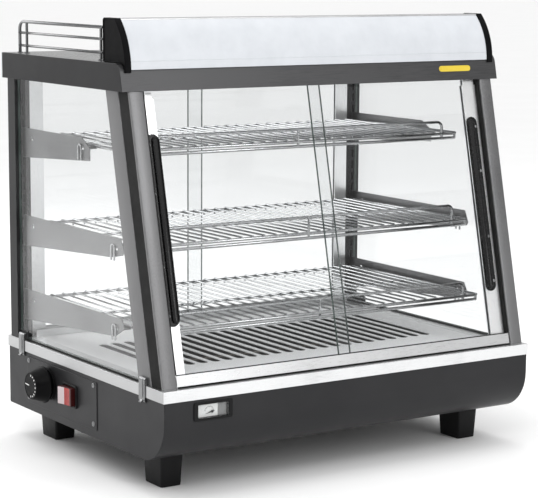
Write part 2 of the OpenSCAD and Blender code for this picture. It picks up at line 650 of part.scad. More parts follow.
module rack(i) {
  L = levels[i];
  f = -fronts[i];
  g = L + guards[i];
  w = shelf_half;
  for (s = [-1, 1]) {
    bar_y(s * w, f, shelf_rear, L, bar_d);
    bar_z(s * w, f, L - 8, L + 0.5, bar_d - 0.6);
    bar_z(s * 278, f, L - 8, g - 9, bar_d - 0.6);
    bar_z(s * 310, -hooks[i], L - 10, L + 1, 4);
    bar_x(s > 0 ? w : -310, s > 0 ? 310 : -w, -hooks[i], L, 3.6);
    translate([s * (278 - 9), f, g - 9]) rotate([90, 0, 0]) rotate([0, 0, s > 0 ? 0 : 90])
      rotate_extrude(angle = 90, $fn = 32) translate([9, 0]) circle(d = bar_d - 0.6, $fn = 16);
  }
  bar_x(-269, 269, f, g, bar_d - 0.6, 16);
  bar_z(0, f, L - 8, g, bar_d - 1);
  bar_x(-w, w, f, L - 1, bar_d);
  bar_x(-w, w, f, L - 8, bar_d);
  bar_x(-w + 1.2, w - 1.2, shelf_rear, L - 1, bar_d);
  bar_x(-w + 1.2, w - 1.2, (f + shelf_rear) / 2, L - 2.6, bar_d - 1);
  for (j = [0:shelf_wires - 1]) {
    x = (j - (shelf_wires - 1) / 2) * 2 * w / (shelf_wires + 1);
    bar_y(x, f, shelf_rear + 0.6, L, wire_d);
    bar_z(x, shelf_rear + 0.6, L - 8, L + 0.6, wire_d);
  }
}

module shelf_1_rack() color([0.75, 0.76, 0.78]) place() rack(0);
module shelf_2_rack() color([0.75, 0.76, 0.78]) place() rack(1);
module shelf_3_rack() color([0.75, 0.76, 0.78]) place() rack(2);

module hold_down_clips() color([0.75, 0.76, 0.77]) place()
  for (s = [0, 1]) for (y = [-187, 197]) mirror([s, 0, 0]) translate([0, y - 8.5, 0]) {
    box([rim_x + 0.1, 0, 136], [rim_x + 1.3, 17, z2 + 11.5]);
    box([pillar_outside - 1.45, 0, z2 + 10.1], [rim_x + 1.3, 17, z2 + 11.5]);
    box([base_x - 4, 0, 136], [rim_x + 1.3, 17, 137.4]);
  }

// front doors, in the leaning frame: x, height up the slope, depth behind the face negative
module f_glass(set, foot, head) {
  box([-door_half, foot, -set - glass], [door_overlap / 2, head, -set]);
}
module f_stile(set, foot, head) {
  translate([0, head, 0]) rotate([90, 0, 0]) linear_extrude(head - foot) difference() {
    polygon([[-stile_edge, -set + 1.8], [-stile_edge + stile_width, -set + 1.8],
      [-stile_edge + stile_width, -set - glass - 1.4], [-stile_edge, -set - glass - 1.4]]);
    translate([-door_half, -set - glass - 0.02]) square([60, glass + 0.04]);
  }
  box([-299, head, -set - glass - 1.2], [-278, head + 9, -set - glass - 0.02]);
  box([-299, head, -set + 0.02], [-278, head + 9, -set + 1.6]);
}
module f_handle(set, mid) translate([-285, mid, -set + 1.8]) difference() {
  linear_extrude(5.6) stadium(handle_width, handle_length);
  translate([1.5, 0, 2.2]) linear_extrude(10) stadium(8, handle_length - 30);
  for (y = [-0.47, -0.2, 0.2, 0.47]) translate([-6.2, y * (handle_length - 16), -1]) cylinder(r = 1.2,
      h = 9, $fn = 24);
}
module f_screws(set, mid) translate([-285, mid, -set + 1.8]) for (y = [-0.47, -0.2, 0.2, 0.47])
  translate([-6.2, y * (handle_length - 16), 0]) {
    cylinder(r = 1.15, h = 5.7, $fn = 24);
    translate([0, 0, 5.6]) cylinder(r1 = 2.4, r2 = 1.7, h = 0.9, $fn = 24);
  }
mid_s = (381 - z2) / ct;

module front_door_left_glass() color([0.78, 0.86, 0.84, 0.3]) place() lean() f_glass(inner_door_set,
    9.2, 433);
module front_door_left_stile() color([0.86, 0.87, 0.88]) place() lean() f_stile(inner_door_set, 11, 414);
module front_door_left_handle() color([0.04, 0.04, 0.045]) place() lean() f_handle(inner_door_set, mid_s);
module front_door_left_screws() color([0.8, 0.8, 0.8]) place() lean() f_screws(inner_door_set, mid_s);
module front_door_right_glass() color([0.78, 0.86, 0.84, 0.3]) place() mirror([1, 0, 0]) lean()
    f_glass(outer_door_set, 5.9, 429.5);
module front_door_right_stile() color([0.86, 0.87, 0.88]) place() mirror([1, 0, 0]) lean()
    f_stile(outer_door_set, 8, 414);
module front_door_right_handle() color([0.04, 0.04, 0.045]) place() mirror([1, 0, 0]) lean()
    f_handle(outer_door_set, mid_s);
module front_door_right_screws() color([0.8, 0.8, 0.8]) place() mirror([1, 0, 0]) lean()
    f_screws(outer_door_set, mid_s);

// rear doors stand upright: y is the inner face of the glass
module r_glass(y) box([-door_half, y, z2 + 2], [door_overlap / 2 + 2, y + glass, zr0 + 7.5]);
module r_stile(y) difference() {
  union() {
    box([-stile_edge, y - 1.4, z2 + 3], [-stile_edge + stile_width - 2, y + glass + 1.6, zr0 - 1]);
    translate([-290, y + glass + 1.5, 381]) rotate([-90, 0, 0]) linear_extrude(5.1)
        stadium(handle_width, handle_length);
  }
  box([-door_half, y - 0.02, z2], [-200, y + glass + 0.02, zr0 + 20]);
  translate([-288.5, y + glass + 3.8, 381]) rotate([-90, 0, 0]) linear_extrude(10) stadium(8,
      handle_length - 30);
}

module rear_door_left_glass() color([0.78, 0.86, 0.84, 0.3]) place() r_glass(rout);
module rear_door_left_stile() color([0.66, 0.67, 0.68]) place() r_stile(rout);
module rear_door_right_glass() color([0.78, 0.86, 0.84, 0.3]) place() mirror([1, 0, 0]) r_glass(rin);
module rear_door_right_stile() color([0.66, 0.67, 0.68]) place() mirror([1, 0, 0]) r_stile(rin);

base_shell();
base_side_left();
base_side_right();
feet();
rim_frame();
deck_plate();
heat_reflector();
heating_elements();
control_plate();
panel_screws();
thermostat_body();
thermostat_spindle();
thermostat_knob();
switch_housing();
rocker();
thermometer_case();
thermometer_dial();
thermometer_needle();
thermometer_lens();
terminal_block();
cable_gland();
front_pillar_left();
front_pillar_right();
rear_post_left();
rear_post_right();
side_glass_left();
side_glass_right();
glass_seals();
front_bottom_track();
front_top_track();
rear_bottom_track();
rear_top_track();
roof_cap();
roof_liner();
badge();
header_cap_left();
header_cap_right();
header_diffuser();
header_back();
header_lamp();
gallery_rail_left();
gallery_rail_right();
shelf_brackets_left();
shelf_brackets_right();
shelf_1_rack();
shelf_2_rack();
shelf_3_rack();
hold_down_clips();
front_door_left_glass();
front_door_left_stile();
front_door_left_handle();
front_door_left_screws();
front_door_right_glass();
front_door_right_stile();
front_door_right_handle();
front_door_right_screws();
rear_door_left_glass();
rear_door_left_stile();
rear_door_right_glass();
rear_door_right_stile();
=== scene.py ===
import json
import math
import random

import bmesh
import bpy
from mathutils import Matrix, Vector


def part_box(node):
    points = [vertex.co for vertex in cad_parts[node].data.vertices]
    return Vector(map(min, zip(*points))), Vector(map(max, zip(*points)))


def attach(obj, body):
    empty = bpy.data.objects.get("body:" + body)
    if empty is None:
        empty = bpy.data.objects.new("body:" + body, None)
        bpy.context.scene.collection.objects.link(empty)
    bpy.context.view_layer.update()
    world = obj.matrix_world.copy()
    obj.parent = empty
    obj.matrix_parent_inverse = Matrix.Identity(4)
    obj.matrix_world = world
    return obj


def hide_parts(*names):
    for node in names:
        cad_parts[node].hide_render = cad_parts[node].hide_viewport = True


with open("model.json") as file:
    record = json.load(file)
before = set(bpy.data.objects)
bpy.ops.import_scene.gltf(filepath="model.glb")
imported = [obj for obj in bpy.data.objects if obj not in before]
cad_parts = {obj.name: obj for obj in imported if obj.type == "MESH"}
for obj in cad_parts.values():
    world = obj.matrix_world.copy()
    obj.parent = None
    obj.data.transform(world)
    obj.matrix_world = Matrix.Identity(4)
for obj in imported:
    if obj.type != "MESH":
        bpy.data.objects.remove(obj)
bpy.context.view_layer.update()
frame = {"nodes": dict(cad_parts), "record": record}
random.seed(7)

# ---------------------------------------------------------------- frame
# Lengths below are millimetres in the cabinet's own frame: x from its middle, y from the middle of
# the rim, z from the counter. The rim's box gives where that frame sits in the model.
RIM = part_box("rim_frame")
OX = (RIM[0].x + RIM[1].x) / 2 * 1000
OY = (RIM[0].y + RIM[1].y) / 2 * 1000


def nbox(node):
    """Lowest and highest corner of a CAD node in cabinet millimetres."""
    lo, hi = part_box(node)
    return ((lo.x * 1000 - OX, lo.y * 1000 - OY, lo.z * 1000),
            (hi.x * 1000 - OX, hi.y * 1000 - OY, hi.z * 1000))


RIM_X = nbox("rim_frame")[1][0]
RIM_Y = nbox("rim_frame")[1][1]
Z0 = nbox("base_side_left")[0][2]
Z1 = nbox("rim_frame")[0][2]
Z2 = nbox("rim_frame")[1][2]
BASE_X = nbox("base_side_right")[1][0]
BASE_Y = nbox("base_side_right")[1][1]
ROOF_X = nbox("roof_cap")[1][0]
ZR0 = nbox("roof_cap")[0][2]
ZR1 = nbox("roof_cap")[1][2]
POST = nbox("rear_post_right")
POST_OUT = POST[1][0]
OUTSIDE = nbox("front_pillar_right")[1][0]
POST_Y1 = POST[1][1]
POST_Y0 = POST_Y1 - 24
LEAN = math.radians(12.8)
ST, CT, TT = math.sin(LEAN), math.cos(LEAN), math.tan(LEAN)
Y_FACE = -RIM_Y + 9
SHEET = 1.2
TINY = 1e-6


def lean_y(n, z):
    """Depth of a plane set n behind the pillar face, at level z."""
    return Y_FACE + n / CT + (z - Z2) * TT


def lean(x, s, n):
    """Point at x, s up the slope and n out of the leaning front."""
    return (x, Y_FACE + s * ST - n * CT, Z2 + s * CT + n * ST)


def metres(p):
    """Point of the model, in metres, from cabinet millimetres."""
    return Vector(((p[0] + OX) / 1000, (p[1] + OY) / 1000, p[2] / 1000))


# ---------------------------------------------------------------- materials
MATS = {}


def tree(name):
    """New material, its node tree and its surface shader."""
    m = bpy.data.materials.new(name)
    m.use_nodes = True
    nt = m.node_tree
    b = nt.nodes["Principled BSDF"]
    MATS[name] = m
    return m, nt, b


def node(nt, kind, **values):
    """Add a node, with values set on its sockets or on itself."""
    n = nt.nodes.new(kind)
    for key, value in values.items():
        if key in n.inputs:
            n.inputs[key].default_value = value
        else:
            setattr(n, key, value)
    return n


def coords(nt, scale):
    tc = nt.nodes.new("ShaderNodeTexCoord")
    mp = nt.nodes.new("ShaderNodeMapping")
    mp.inputs["Scale"].default_value = scale
    nt.links.new(tc.outputs["Object"], mp.inputs["Vector"])
    return mp.outputs["Vector"]


def noise(nt, scale, stretch=(1, 1, 1), detail=4.0, rough=0.6):
    n = node(nt, "ShaderNodeTexNoise", Scale=scale, Detail=detail, Roughness=rough)
    nt.links.new(coords(nt, stretch), n.inputs["Vector"])
    return n.outputs["Fac"]


def ramp(nt, source, low, high, a=0.3, b=0.7):
    """Map a 0..1 source to a number between low and high."""
    n = node(nt, "ShaderNodeMapRange")
    n.inputs["From Min"].default_value = a
    n.inputs["From Max"].default_value = b
    n.inputs["To Min"].default_value = low
    n.inputs["To Max"].default_value = high
    nt.links.new(source, n.inputs["Value"])
    return n.outputs["Result"]


def tint(nt, source, dark, light, a=0.3, b=0.7):
    """Map a 0..1 source to a colour between dark and light."""
    n = nt.nodes.new("ShaderNodeValToRGB")
    n.color_ramp.elements[0].position = a
    n.color_ramp.elements[0].color = (*dark, 1)
    n.color_ramp.elements[1].position = b
    n.color_ramp.elements[1].color = (*light, 1)
    nt.links.new(source, n.inputs["Fac"])
    return n.outputs["Color"]


def bump(nt, b, source, strength, distance, edge=0.0):
    """Bump from a source, over edges that are rounded by the edge radius in metres."""
    n = node(nt, "ShaderNodeBump", Strength=strength, Distance=distance)
    nt.links.new(source, n.inputs["Height"])
    if edge:
        e = node(nt, "ShaderNodeBevel", Radius=edge)
        e.samples = 4
        nt.links.new(e.outputs["Normal"], n.inputs["Normal"])
    nt.links.new(n.outputs["Normal"], b.inputs["Normal"])


def mixed(nt, a, b, how="MULTIPLY"):
    n = node(nt, "ShaderNodeMath", operation=how)
    nt.links.new(a, n.inputs[0])
    nt.links.new(b, n.inputs[1])
    return n.outputs["Value"]


def edges(nt, width):
    """1 on edges, 0 on flat ground: how far a bevelled normal leaves the true one."""
    e = node(nt, "ShaderNodeBevel", Radius=width)
    e.samples = 4
    g = nt.nodes.new("ShaderNodeNewGeometry")
    d = node(nt, "ShaderNodeVectorMath", operation="DOT_PRODUCT")
    nt.links.new(e.outputs["Normal"], d.inputs[0])
    nt.links.new(g.outputs["True Normal"], d.inputs[1])
    return ramp(nt, d.outputs["Value"], 1.0, 0.0, 0.82, 0.985)


def painted_edge_highlight(nt, colour, worn, amount=0.6, width=0.0012):
    """Painted highlight: lighter colour along edges, broken up by noise."""
    k = mixed(nt, edges(nt, width), ramp(nt, noise(nt, 90, detail=4), 0.1, amount, 0.4, 0.65))
    mx = nt.nodes.new("ShaderNodeMix")
    mx.data_type = "RGBA"
    nt.links.new(k, mx.inputs["Factor"])
    nt.links.new(colour, mx.inputs["A"])
    mx.inputs["B"].default_value = (*worn, 1)
    return mx.outputs["Result"]


def painted(name, dark, light, metallic, rough, edge=0.0009, worn=2.2, gloss=0.2):
    """Powder coat: fine orange peel, faint cloudy variation, painted highlights along the edges."""
    m, nt, b = tree(name)
    colour = tint(nt, noise(nt, 5, detail=3), dark, light)
    colour = painted_edge_highlight(nt, colour, tuple(min(1, c * worn + 0.02) for c in light))
    nt.links.new(colour, b.inputs["Base Color"])
    b.inputs["Metallic"].default_value = metallic
    b.inputs["Specular IOR Level"].default_value = gloss
    nt.links.new(ramp(nt, noise(nt, 22, detail=5), rough - 0.04, rough + 0.05),
                 b.inputs["Roughness"])
    bump(nt, b, noise(nt, 900, detail=2), 0.04, 0.00003, edge)
    return m


def brushed_paint(name, dark, light, metallic, rough, along=(1, 45, 45), edge=0.0009):
    """Metal-look coat with fine lines along one direction and painted highlights along the edges.
    """
    m, nt, b = tree(name)
    lines = noise(nt, 30, along, detail=5, rough=0.7)
    cloud = noise(nt, 3, detail=2)
    colour = tint(nt, mixed(nt, lines, cloud, "ADD"), dark, light, 0.75, 1.25)
    colour = painted_edge_highlight(nt, colour, tuple(min(1, c * 2.4 + 0.02) for c in light), 0.9, 0.0016)
    nt.links.new(colour, b.inputs["Base Color"])
    b.inputs["Metallic"].default_value = metallic
    b.inputs["Specular IOR Level"].default_value = 0.2
    nt.links.new(ramp(nt, lines, rough - 0.05, rough + 0.07), b.inputs["Roughness"])
    bump(nt, b, lines, 0.08, 0.00003, edge)
    return m


def brushed(name, dark, light, rough, along=(1, 40, 40), edge=0.0006, strength=0.12, metallic=1.0,
            cross=1.0):
    """Brushed metal: long fine scratches in one direction, with cloudy roughness. Faces that look
    along x get painted shade, and cross says how much darker their colour is made."""
    m, nt, b = tree(name)
    lines = noise(nt, 60, along, detail=5, rough=0.7)
    cloud = noise(nt, 7, detail=3)
    colour = tint(nt, mixed(nt, lines, cloud, "ADD"), dark, light, 0.7, 1.3)
    # painted shade: colour scaled down on faces that look along x
    if cross < 1:
        g = nt.nodes.new("ShaderNodeNewGeometry")
        axes = nt.nodes.new("ShaderNodeSeparateXYZ")
        nt.links.new(g.outputs["Normal"], axes.inputs[0])
        facing = node(nt, "ShaderNodeMath", operation="ABSOLUTE")
        nt.links.new(axes.outputs["X"], facing.inputs[0])
        painted_shade = node(nt, "ShaderNodeVectorMath", operation="SCALE")
        nt.links.new(colour, painted_shade.inputs[0])
        nt.links.new(ramp(nt, facing.outputs["Value"], 1.0, cross, 0.5, 0.95), painted_shade.inputs["Scale"])
        colour = painted_shade.outputs["Vector"]
    nt.links.new(colour, b.inputs["Base Color"])
    b.inputs["Metallic"].default_value = metallic
    nt.links.new(ramp(nt, lines, rough - 0.08, rough + 0.1), b.inputs["Roughness"])
    bump(nt, b, lines, strength, 0.00005, edge)
    return m


def plastic(name, dark, light, rough, grain=900, depth=0.25, edge=0.0008, coat=0.0, gloss=0.5):
    """Moulded plastic: fine texture, small change of tone."""
    m, nt, b = tree(name)
    nt.links.new(tint(nt, noise(nt, 30, detail=4), dark, light), b.inputs["Base Color"])
    g = noise(nt, grain, detail=2)
    nt.links.new(ramp(nt, noise(nt, 120, detail=4), rough - 0.05, rough + 0.08),
                 b.inputs["Roughness"])
    b.inputs["Specular IOR Level"].default_value = gloss
    if coat:
        b.inputs["Coat Weight"].default_value = coat
        b.inputs["Coat Roughness"].default_value = 0.12
    bump(nt, b, g, depth, 0.00003, edge)
    return m


def glass_mat(name, through, gloss=1.0):
    """Clear pane: lets light through with a faint tint and mirrors by angle, with light smears."""
    m, nt, b = tree(name)
    nt.nodes.remove(b)
    out = nt.nodes["Material Output"]
    clear = node(nt, "ShaderNodeBsdfTransparent")
    clear.inputs["Color"].default_value = (*through, 1)
    shine = node(nt, "ShaderNodeBsdfGlossy")
    shine.inputs["Color"].default_value = (gloss, gloss, gloss, 1)
    nt.links.new(ramp(nt, noise(nt, 14, detail=5), 0.015, 0.06), shine.inputs["Roughness"])
    f = node(nt, "ShaderNodeLayerWeight", Blend=0.5)
    grow = node(nt, "ShaderNodeMath", operation="POWER")
    nt.links.new(f.outputs["Facing"], grow.inputs[0])
    grow.inputs[1].default_value = 4.0
    mx = nt.nodes.new("ShaderNodeMixShader")
    nt.links.new(ramp(nt, grow.outputs["Value"], 0.03, 0.7, 0.0, 1.0), mx.inputs["Fac"])
    nt.links.new(clear.outputs["BSDF"], mx.inputs[1])
    nt.links.new(shine.outputs["BSDF"], mx.inputs[2])
    nt.links.new(mx.outputs["Shader"], out.inputs["Surface"])
    return m


painted("charcoal_paint", (0.0205, 0.0205, 0.022), (0.0285, 0.0285, 0.030), 0.30, 0.38)
painted("roof_paint", (0.0135, 0.0135, 0.0145), (0.019, 0.019, 0.020), 0.30, 0.42, gloss=0.14)
brushed("roof_top", (0.19, 0.192, 0.194), (0.30, 0.302, 0.304), 0.26, (1, 40, 40), 0.0004, 0.03)
brushed_paint("fascia_paint", (0.048, 0.048, 0.050), (0.080, 0.080, 0.082), 0.70, 0.38)
brushed_paint("pillar_paint", (0.12, 0.12, 0.123), (0.185, 0.185, 0.188), 0.70, 0.38,
              (45, 45, 1), 0.0018)
brushed_paint("post_paint", (0.019, 0.019, 0.020), (0.034, 0.034, 0.035), 0.60, 0.42, (45, 45, 1))
painted("black_paint", (0.010, 0.010, 0.011), (0.016, 0.016, 0.017), 0.1, 0.45)
# stainless faces that look along x, such as the rim's sides, get painted shade
brushed("stainless", (0.56, 0.565, 0.57), (0.76, 0.765, 0.77), 0.32, (1, 40, 40), cross=0.62)
brushed("deck_steel", (0.92, 0.922, 0.925), (0.985, 0.987, 0.99), 0.5, (40, 1, 40), metallic=0.05)
# heat reflector near black: painted shade for the dark seen through the deck's slots
brushed("reflector_steel", (0.035, 0.034, 0.034), (0.07, 0.068, 0.067), 0.5, (3, 3, 3))
brushed("galvanised_steel", (0.26, 0.27, 0.28), (0.44, 0.45, 0.46), 0.5, (3, 3, 3))
brushed("heater_steel", (0.10, 0.085, 0.075), (0.22, 0.20, 0.18), 0.45, (4, 40, 40))
brushed("rail_wire", (0.10, 0.102, 0.104), (0.17, 0.172, 0.175), 0.2, (4, 4, 4), 0, 0.05)
brushed("chrome_wire", (0.30, 0.305, 0.31), (0.46, 0.465, 0.47), 0.17, (4, 4, 4), 0, 0.05)
brushed("spring_steel", (0.13, 0.132, 0.135), (0.24, 0.243, 0.246), 0.3, (40, 40, 2), 0.0003)
brushed("bracket_steel", (0.15, 0.15, 0.153), (0.24, 0.24, 0.243), 0.36, (40, 1, 40), 0.0006)
brushed("satin_aluminium", (0.48, 0.485, 0.49), (0.66, 0.665, 0.67), 0.32, (1, 40, 40), 0.0005)
brushed("stile_aluminium", (0.70, 0.705, 0.71), (0.90, 0.905, 0.91), 0.32, (40, 40, 1), 0.0005)
plastic("black_plastic", (0.005, 0.005, 0.0055), (0.009, 0.009, 0.0095), 0.42, 900, 0.15,
        gloss=0.15)
plastic("cap_plastic", (0.004, 0.004, 0.0045), (0.007, 0.007, 0.0075), 0.5, 900, 0.15,
        gloss=0.03)
plastic("handle_plastic", (0.003, 0.003, 0.0034), (0.006, 0.006, 0.0064), 0.26, 700, 0.08,
        gloss=0.3)
plastic("knob_plastic", (0.0022, 0.0022, 0.0025), (0.0042, 0.0042, 0.0045), 0.40, 700, 0.1,
        gloss=0.07)
plastic("seal_rubber", (0.008, 0.008, 0.008), (0.016, 0.016, 0.016), 0.6, 1400, 0.4, gloss=0.12)
plastic("white_diffuser", (0.56, 0.58, 0.61), (0.61, 0.63, 0.66), 0.34, 1200, 0.03, 0.0, gloss=0.3)
plastic("lamp_glass", (0.85, 0.86, 0.87), (0.93, 0.93, 0.94), 0.25, 300, 0.05, 0.0)
plastic("dial_white", (0.80, 0.80, 0.79), (0.90, 0.90, 0.89), 0.45, 600, 0.05, 0.0)
plastic("dial_grey", (0.20, 0.20, 0.20), (0.27, 0.27, 0.27), 0.45, 600, 0.05, 0.0)
plastic("dial_ink", (0.015, 0.015, 0.015), (0.03, 0.03, 0.03), 0.5, 600, 0.05, 0.0)
plastic("knob_print", (0.70, 0.70, 0.70), (0.86, 0.86, 0.86), 0.45, 900, 0.05, 0.0)
plastic("yellow_plastic", (0.62, 0.46, 0.03), (0.76, 0.58, 0.06), 0.3, 800, 0.08)
plastic("cream_plastic", (0.60, 0.56, 0.46), (0.72, 0.68, 0.58), 0.45, 600, 0.15)
# pale pink rear half of the rocker: painted highlight
plastic("rocker_clear", (0.46, 0.38, 0.39), (0.62, 0.54, 0.55), 0.2, 500, 0.05,
        coat=0.15, gloss=0.3)
# near-black red rocker ends: painted shade
plastic("rocker_end", (0.030, 0.004, 0.004), (0.055, 0.008, 0.008), 0.3, 500, 0.06, gloss=0.3)
plastic("red_plastic", (0.20, 0.008, 0.008), (0.40, 0.03, 0.026), 0.2, 260, 0.1,
        coat=0.15, gloss=0.3)
plastic("glass_edge", (0.045, 0.06, 0.055), (0.09, 0.115, 0.105), 0.18, 400, 0.05, 0.0)
glass_mat("clear_glass", (0.972, 0.976, 0.977), 0.85)

SLOT_OF = {s["node"]: s["material_slot"] for s in frame["record"]["subparts"]}
# the heat reflector under the deck takes the near-black painted shade
OWN = {"deck_plate": "deck_steel", "heat_reflector": "reflector_steel"}
for side in ("left", "right"):
    OWN[f"front_door_{side}_stile"] = OWN[f"rear_door_{side}_stile"] = "stile_aluminium"
for name, obj in frame["nodes"].items():
    mat = MATS[OWN.get(name, SLOT_OF[name])]
    if not obj.data.materials:
        obj.data.materials.append(mat)
    for i in range(len(obj.data.materials)):
        obj.data.materials[i] = mat


# ---------------------------------------------------------------- mesh tools
def piece(name, verts, faces, mats, body="cabinet", slot=None, replaces=(), bevel=0.0, segs=2,
          face_mats=None, angle=32, mirror=False):
    """Closed piece from cabinet millimetres. bevel rounds every edge sharper than angle."""
    if isinstance(mats, str):
        mats = [mats]
    if mirror:
        verts = [(-v[0], v[1], v[2]) for v in verts]
    me = bpy.data.meshes.new(name)
    me.from_pydata([metres(v) for v in verts], [], [list(f) for f in faces])
    for m in mats:
        me.materials.append(MATS[m])
    if face_mats:
        me.polygons.foreach_set("material_index", face_mats)
    bm = bmesh.new()
    bm.from_mesh(me)
    bmesh.ops.remove_doubles(bm, verts=bm.verts, dist=2e-6)
    bmesh.ops.recalc_face_normals(bm, faces=bm.faces)
    if bevel:
        lim = math.radians(angle)
        sharp = [e for e in bm.edges if len(e.link_faces) == 2 and e.calc_face_angle(0) > lim]
        bmesh.ops.bevel(bm, geom=sharp, offset=bevel / 1000, offset_type="OFFSET", segments=segs,
                        profile=0.5, affect="EDGES", clamp_overlap=True)
    bm.to_mesh(me)
    bm.free()
    me.polygons.foreach_set("use_smooth", [True] * len(me.polygons))
    me.set_sharp_from_angle(angle=math.radians(40))
    ob = bpy.data.objects.new(name, me)
    bpy.context.scene.collection.objects.link(ob)
    if bevel:
        wn = ob.modifiers.new("weighted", "WEIGHTED_NORMAL")
        wn.keep_sharp = True
        wn.weight = 100
    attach(ob, body)
    if replaces:
        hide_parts(*replaces)
    return ob


class Shape:
    """Gathers vertices and faces of several closed shapes into one piece."""

    def __init__(self):
        self.v, self.f, self.m = [], [], []

    def add(self, verts, faces, mat=0):
        k = len(self.v)
        self.v += [tuple(p) for p in verts]
        self.f += [[k + i for i in f] for f in faces]
        self.m += [mat] * len(faces)
        return self

    def loft(self, rings, mat=0, closed=False):
        """Skin over rings of equal length, capped at both ends unless closed."""
        n = len(rings[0])
        verts = [p for r in rings for p in r]
        faces = []
        k = len(rings)
        for i in range(k if closed else k - 1):
            a, b = i * n, ((i + 1) % k) * n
            for j in range(n):
                faces.append([a + j, a + (j + 1) % n, b + (j + 1) % n, b + j])
        if not closed:
            faces.append(list(range(n))[::-1])
            faces.append([(k - 1) * n + j for j in range(n)])
        return self.add(verts, faces, mat)

    def prism(self, outline, place, a, b, mat=0):
        """Outline of (u, v) run from a to b; place(u, v, t) gives the point."""
        return self.loft([[place(u, v, a) for u, v in outline],
                          [place(u, v, b) for u, v in outline]], mat)

    def box(self, p, q, mat=0):
        o = [(p[0], p[1]), (q[0], p[1]), (q[0], q[1]), (p[0], q[1])]
        return self.prism(o, lambda u, v, t: (u, v, t), p[2], q[2], mat)

    def tube(self, path, r, seg=10, mat=0, closed=False, dome=True):
        """Round wire along a path, with domed ends."""
        pts = [Vector(p) for p in path]
        n = len(pts)
        tang = []
        for i in range(n):
            a = pts[(i - 1) % n] if (closed or i) else pts[i]
            b = pts[(i + 1) % n] if (closed or i < n - 1) else pts[i]
            tang.append((b - a).normalized())
        up = Vector((0, 0, 1)) if abs(tang[0].z) < 0.9 else Vector((1, 0, 0))
        side = tang[0].cross(up).normalized()
        rings = []

        def ring(c, t, s, rad):
            w = t.cross(s)
            return [tuple(c + s * (rad * math.cos(2 * math.pi * j / seg))
                          + w * (rad * math.sin(2 * math.pi * j / seg))) for j in range(seg)]

        for i in range(n):
            side = (side - tang[i] * side.dot(tang[i])).normalized()
            if i == 0 and dome and not closed:
                for k in (0.35, 0.75):
                    h = math.sqrt(1 - k * k)
                    rings.append(ring(pts[0] - tang[0] * (r * h * 0.6), tang[0], side, r * k))
            rings.append(ring(pts[i], tang[i], side, r))
            if i == n - 1 and dome and not closed:
                for k in (0.75, 0.35):
                    h = math.sqrt(1 - k * k)
                    rings.append(ring(pts[i] + tang[i] * (r * h * 0.6), tang[i], side, r * k))
        return self.loft(rings, mat, closed)

    def lathe(self, profile, centre, axis, seg=48, mat=0):
        """Turn (radius, height) pairs about an axis through centre."""
        ax = Vector(axis).normalized()
        up = Vector((0, 0, 1)) if abs(ax.z) < 0.9 else Vector((1, 0, 0))
        s = ax.cross(up).normalized()
        w = ax.cross(s)
        c = Vector(centre)
        rings = [[tuple(c + ax * h + s * (r * math.cos(2 * math.pi * j / seg))
                        + w * (r * math.sin(2 * math.pi * j / seg))) for j in range(seg)]
                 for r, h in profile]
        return self.loft(rings, mat)

    def make(self, name, mats, **kw):
        return piece(name, self.v, self.f, mats, face_mats=self.m, **kw)


def fillet(p, a, b, radius, k, straight):
    """Arc of k + 1 points that rounds corner p between its legs a and b. The corner stays where a
    leg has no length, or where half the angle between them is more than straight degrees."""
    la, lb = a.length, b.length
    if radius <= 0 or la < TINY or lb < TINY:
        return [tuple(p)]
    a /= la
    b /= lb
    half = math.acos(max(-1, min(1, a.dot(b)))) / 2
    if half > math.radians(straight):
        return [tuple(p)]
    d = min(radius / math.tan(half), la * 0.49, lb * 0.49)
    c = p + (a + b).normalized() * (d * math.tan(half) / math.sin(half))
    s, e = p + a * d - c, p + b * d - c
    ang = s.angle(e)
    return [tuple(c + (s * math.sin((1 - t / k) * ang) + e * math.sin(t / k * ang)) / math.sin(ang))
            for t in range(k + 1)]


def rounded(poly, r, k=4):
    """Round the corners of a closed outline; r is one radius or one per corner."""
    pts = [Vector(p) for p in poly]
    out = []
    for i, p in enumerate(pts):
        radius = r[i] if isinstance(r, (list, tuple)) else r
        out += fillet(p, pts[i - 1] - p, pts[(i + 1) % len(pts)] - p, radius, k, 88)
    return out


def bend(path, r, k=5):
    """Round the inner corners of an open wire path."""
    pts = [Vector(p) for p in path]
    out = [tuple(pts[0])]
    for i in range(1, len(pts) - 1):
        out += fillet(pts[i], pts[i - 1] - pts[i], pts[i + 1] - pts[i], r, k, 87)
    return out + [tuple(pts[-1])]


def stadium(w, l, k=8):
    """Closed outline of a slot shape: w across, l long."""
    r = w / 2
    pts = []
    for i in range(k + 1):
        a = math.pi * i / k
        pts.append((r * math.cos(a), l / 2 - r + r * math.sin(a)))
    for i in range(k + 1):
        a = math.pi + math.pi * i / k
        pts.append((r * math.cos(a), -l / 2 + r + r * math.sin(a)))
    return pts


def yz(u, v, t):
    """Prism placer for a side outline of (y, z) that runs along x."""
    return (t, u, v)


# ---------------------------------------------------------------- base
# x and z limits of the thermometer's window, then the middles of the louvre slots in the back
GAUGE_HOLE = (-280.4, -220.4, 115.3, 137.7)
LOUVRES = [x0 + i * 12 for x0 in (-120, 60) for i in range(-4, 5)]
LOUVRE_HALF = 2


def base_path(e, steps=20):
    """Side outline of the base from the top of the back, under, and up the curved front."""
    r = 63.0
    pts = [(BASE_Y - e, Z1), (BASE_Y - e, Z0 + 3)]
    for i in range(4):
        a = math.radians(0 - 90 * (i + 1) / 4)
        pts.append((BASE_Y - 3 + (3 - e) * math.cos(a), Z0 + 3 + (3 - e) * math.sin(a)))
    for i in range(steps + 1):
        a = math.radians(270 - 90 * i / steps)
        pts.append((-BASE_Y + r + (r - e) * math.cos(a), Z0 + r + (r - e) * math.sin(a)))
    pts += [(-BASE_Y + e, z) for z in (GAUGE_HOLE[2], GAUGE_HOLE[3], Z1)]
    return pts


